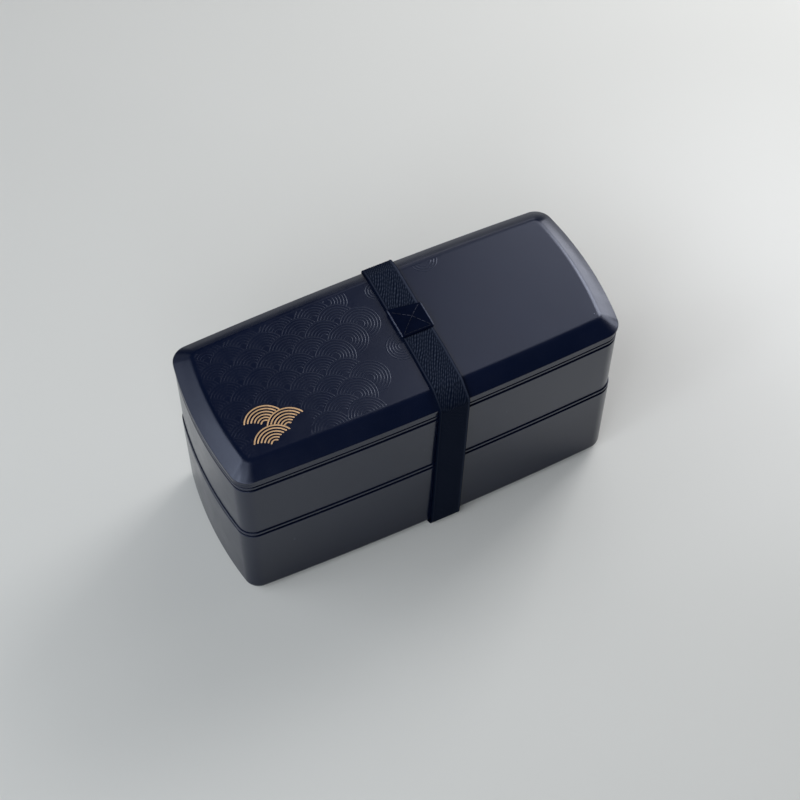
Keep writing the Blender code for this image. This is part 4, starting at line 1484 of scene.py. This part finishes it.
@dataclass
class Studio:
    """Pale table, soft panels, a plain backdrop, and the camera at the photograph's angle."""

    panels: tuple[Panel, ...] = (
        Panel("window_low", Source.WINDOW, 25, 10, (0.321, 0.193), 4.1),
        Panel("window", Source.WINDOW, 25, 24, (0.321, 0.270), 3.4),
        Panel("window_high", Source.WINDOW, 25, 40, (0.321, 0.321), 6.4),
        Panel("window_near_side", Source.WINDOW, 5, 24, (0.321, 0.270), 3.2),
        Panel("window_far_side", Source.WINDOW, 45, 40, (0.321, 0.321), 1.75),
        Panel("window_top", Source.WINDOW, 45, 58, (0.321, 0.354), 1.02),
        Panel("sill_beyond", Source.WINDOW, 65, 10, (0.321, 0.193), 0.88),
        Panel("sill_above", Source.WINDOW, 68, 32, (0.25, 0.35), 0.60),
        Panel("window_edge", Source.WINDOW, -15, 24, (0.321, 0.270), 1.2),
        Panel("wall_beyond_low", Source.ROOM, 120, 18, (0.8, 0.5), 0.24),
        Panel("wall_far_low", Source.ROOM, 150, 18, (0.8, 0.5), 1.10),
        Panel("wall_far", Source.ROOM, 140, 40, (0.4, 0.6), 1.05),
        Panel("wall_far_side", Source.ROOM, 156, 40, (0.4, 0.6), 2.0),
        Panel("wall_left_low", Source.ROOM, 180, 18, (0.8, 0.5), 2.6),
        Panel("wall_left", Source.ROOM, 180, 40, (0.8, 0.6), 2.25),
        Panel("wall_near_left", Source.ROOM, 210, 40, (0.8, 0.6), 2.95),
        Panel("wall_left_high", Source.ROOM, 205, 59, (0.8, 0.40), 1.15),
        Panel("wall_near", Source.ROOM, 240, 40, (0.8, 0.6), 2.85),
        Panel("wall_near_high", Source.ROOM, 234, 61, (0.5, 0.30), 0.45),
    )
    reach: float = 2.5
    backdrop: Triple = (0.36, 0.37, 0.37)
    camera_place: Triple = (-0.23781, -0.48503, 0.89048)
    camera_right: Triple = (0.89911, -0.43772, 0.00369)
    camera_up: Triple = (0.36601, 0.75640, 0.54213)
    camera_back: Triple = (-0.24009, -0.48608, 0.84029)
    lens: float = 94.046

    def table(self) -> None:
        """Build the table: a plane that ends far behind the box."""
        corners = np.array([(-1, -1, 0), (1, -1, 0), (1, 1, 0), (-1, 1, 0)], float) * self.reach
        mesh_object("table_top", [(corners, [[0, 1, 2, 3]])], Finish.TABLE)

    def light(self) -> None:
        """Put up the panels and set the backdrop.

        Only camera rays see the backdrop, so it lights and mirrors nothing. Its strength rises smoothly with the
        height of the ray's direction, from the dark far end of the table up.
        """
        for panel in self.panels:
            panel.build()
        world = bpy.data.worlds.new("backdrop")
        world.use_nodes = True
        bench = NodeBench(world.node_tree, "Background")
        ray = bench.add("ShaderNodeTexCoord").outputs["Generated"]
        rise = bench.ramp(bench.add("ShaderNodeSeparateXYZ", ray).outputs["Z"], -0.05, 0.10, 0.015, 1.0, smooth=True)
        seen = bench.add("ShaderNodeLightPath").outputs["Is Camera Ray"]
        bench.surface(Color=self.backdrop, Strength=bench.math("MULTIPLY", rise, seen))
        bpy.context.scene.world = world

    def camera(self) -> None:
        """Place the camera: its axes and place were fitted to the edges of the box in the photograph."""
        data = bpy.data.cameras.new("camera")
        data.lens, data.sensor_width, data.clip_start = self.lens, 36.0, 0.02
        bpy.context.scene.camera = stand("camera", data, self.camera_right, self.camera_up, self.camera_back,
                                         self.camera_place)

    def build(self) -> None:
        """Build the studio."""
        self.table()
        self.light()
        self.camera()
        bpy.context.scene.view_settings.view_transform = "Standard"


def main() -> None:
    """Build every piece, then the studio."""
    logging.basicConfig(level=logging.INFO, format="%(name)s: %(message)s")
    Tray("lower_tray", "base", 1.5, 56.3, nests=False).build()
    Tray("upper_tray", "upper_tray", 54.4, 96.9, nests=True).build()
    OuterLid().build()
    for level, flange in (("lower", 52.6), ("upper", 93.2)):
        InnerLid(level, flange).build()
    Divider("lower", 4.6, 43.5, 48.0).build()
    Divider("upper", 58.6, 84.1, 34.6).build()
    scales, patch = WaveScales(), BandPatch()
    scales.emboss()
    scales.gild()
    ElasticBand().build()
    patch.cloth()
    patch.sealed_sides()
    patch.threads()
    Studio().build()


if __name__ == "__main__":
    main()
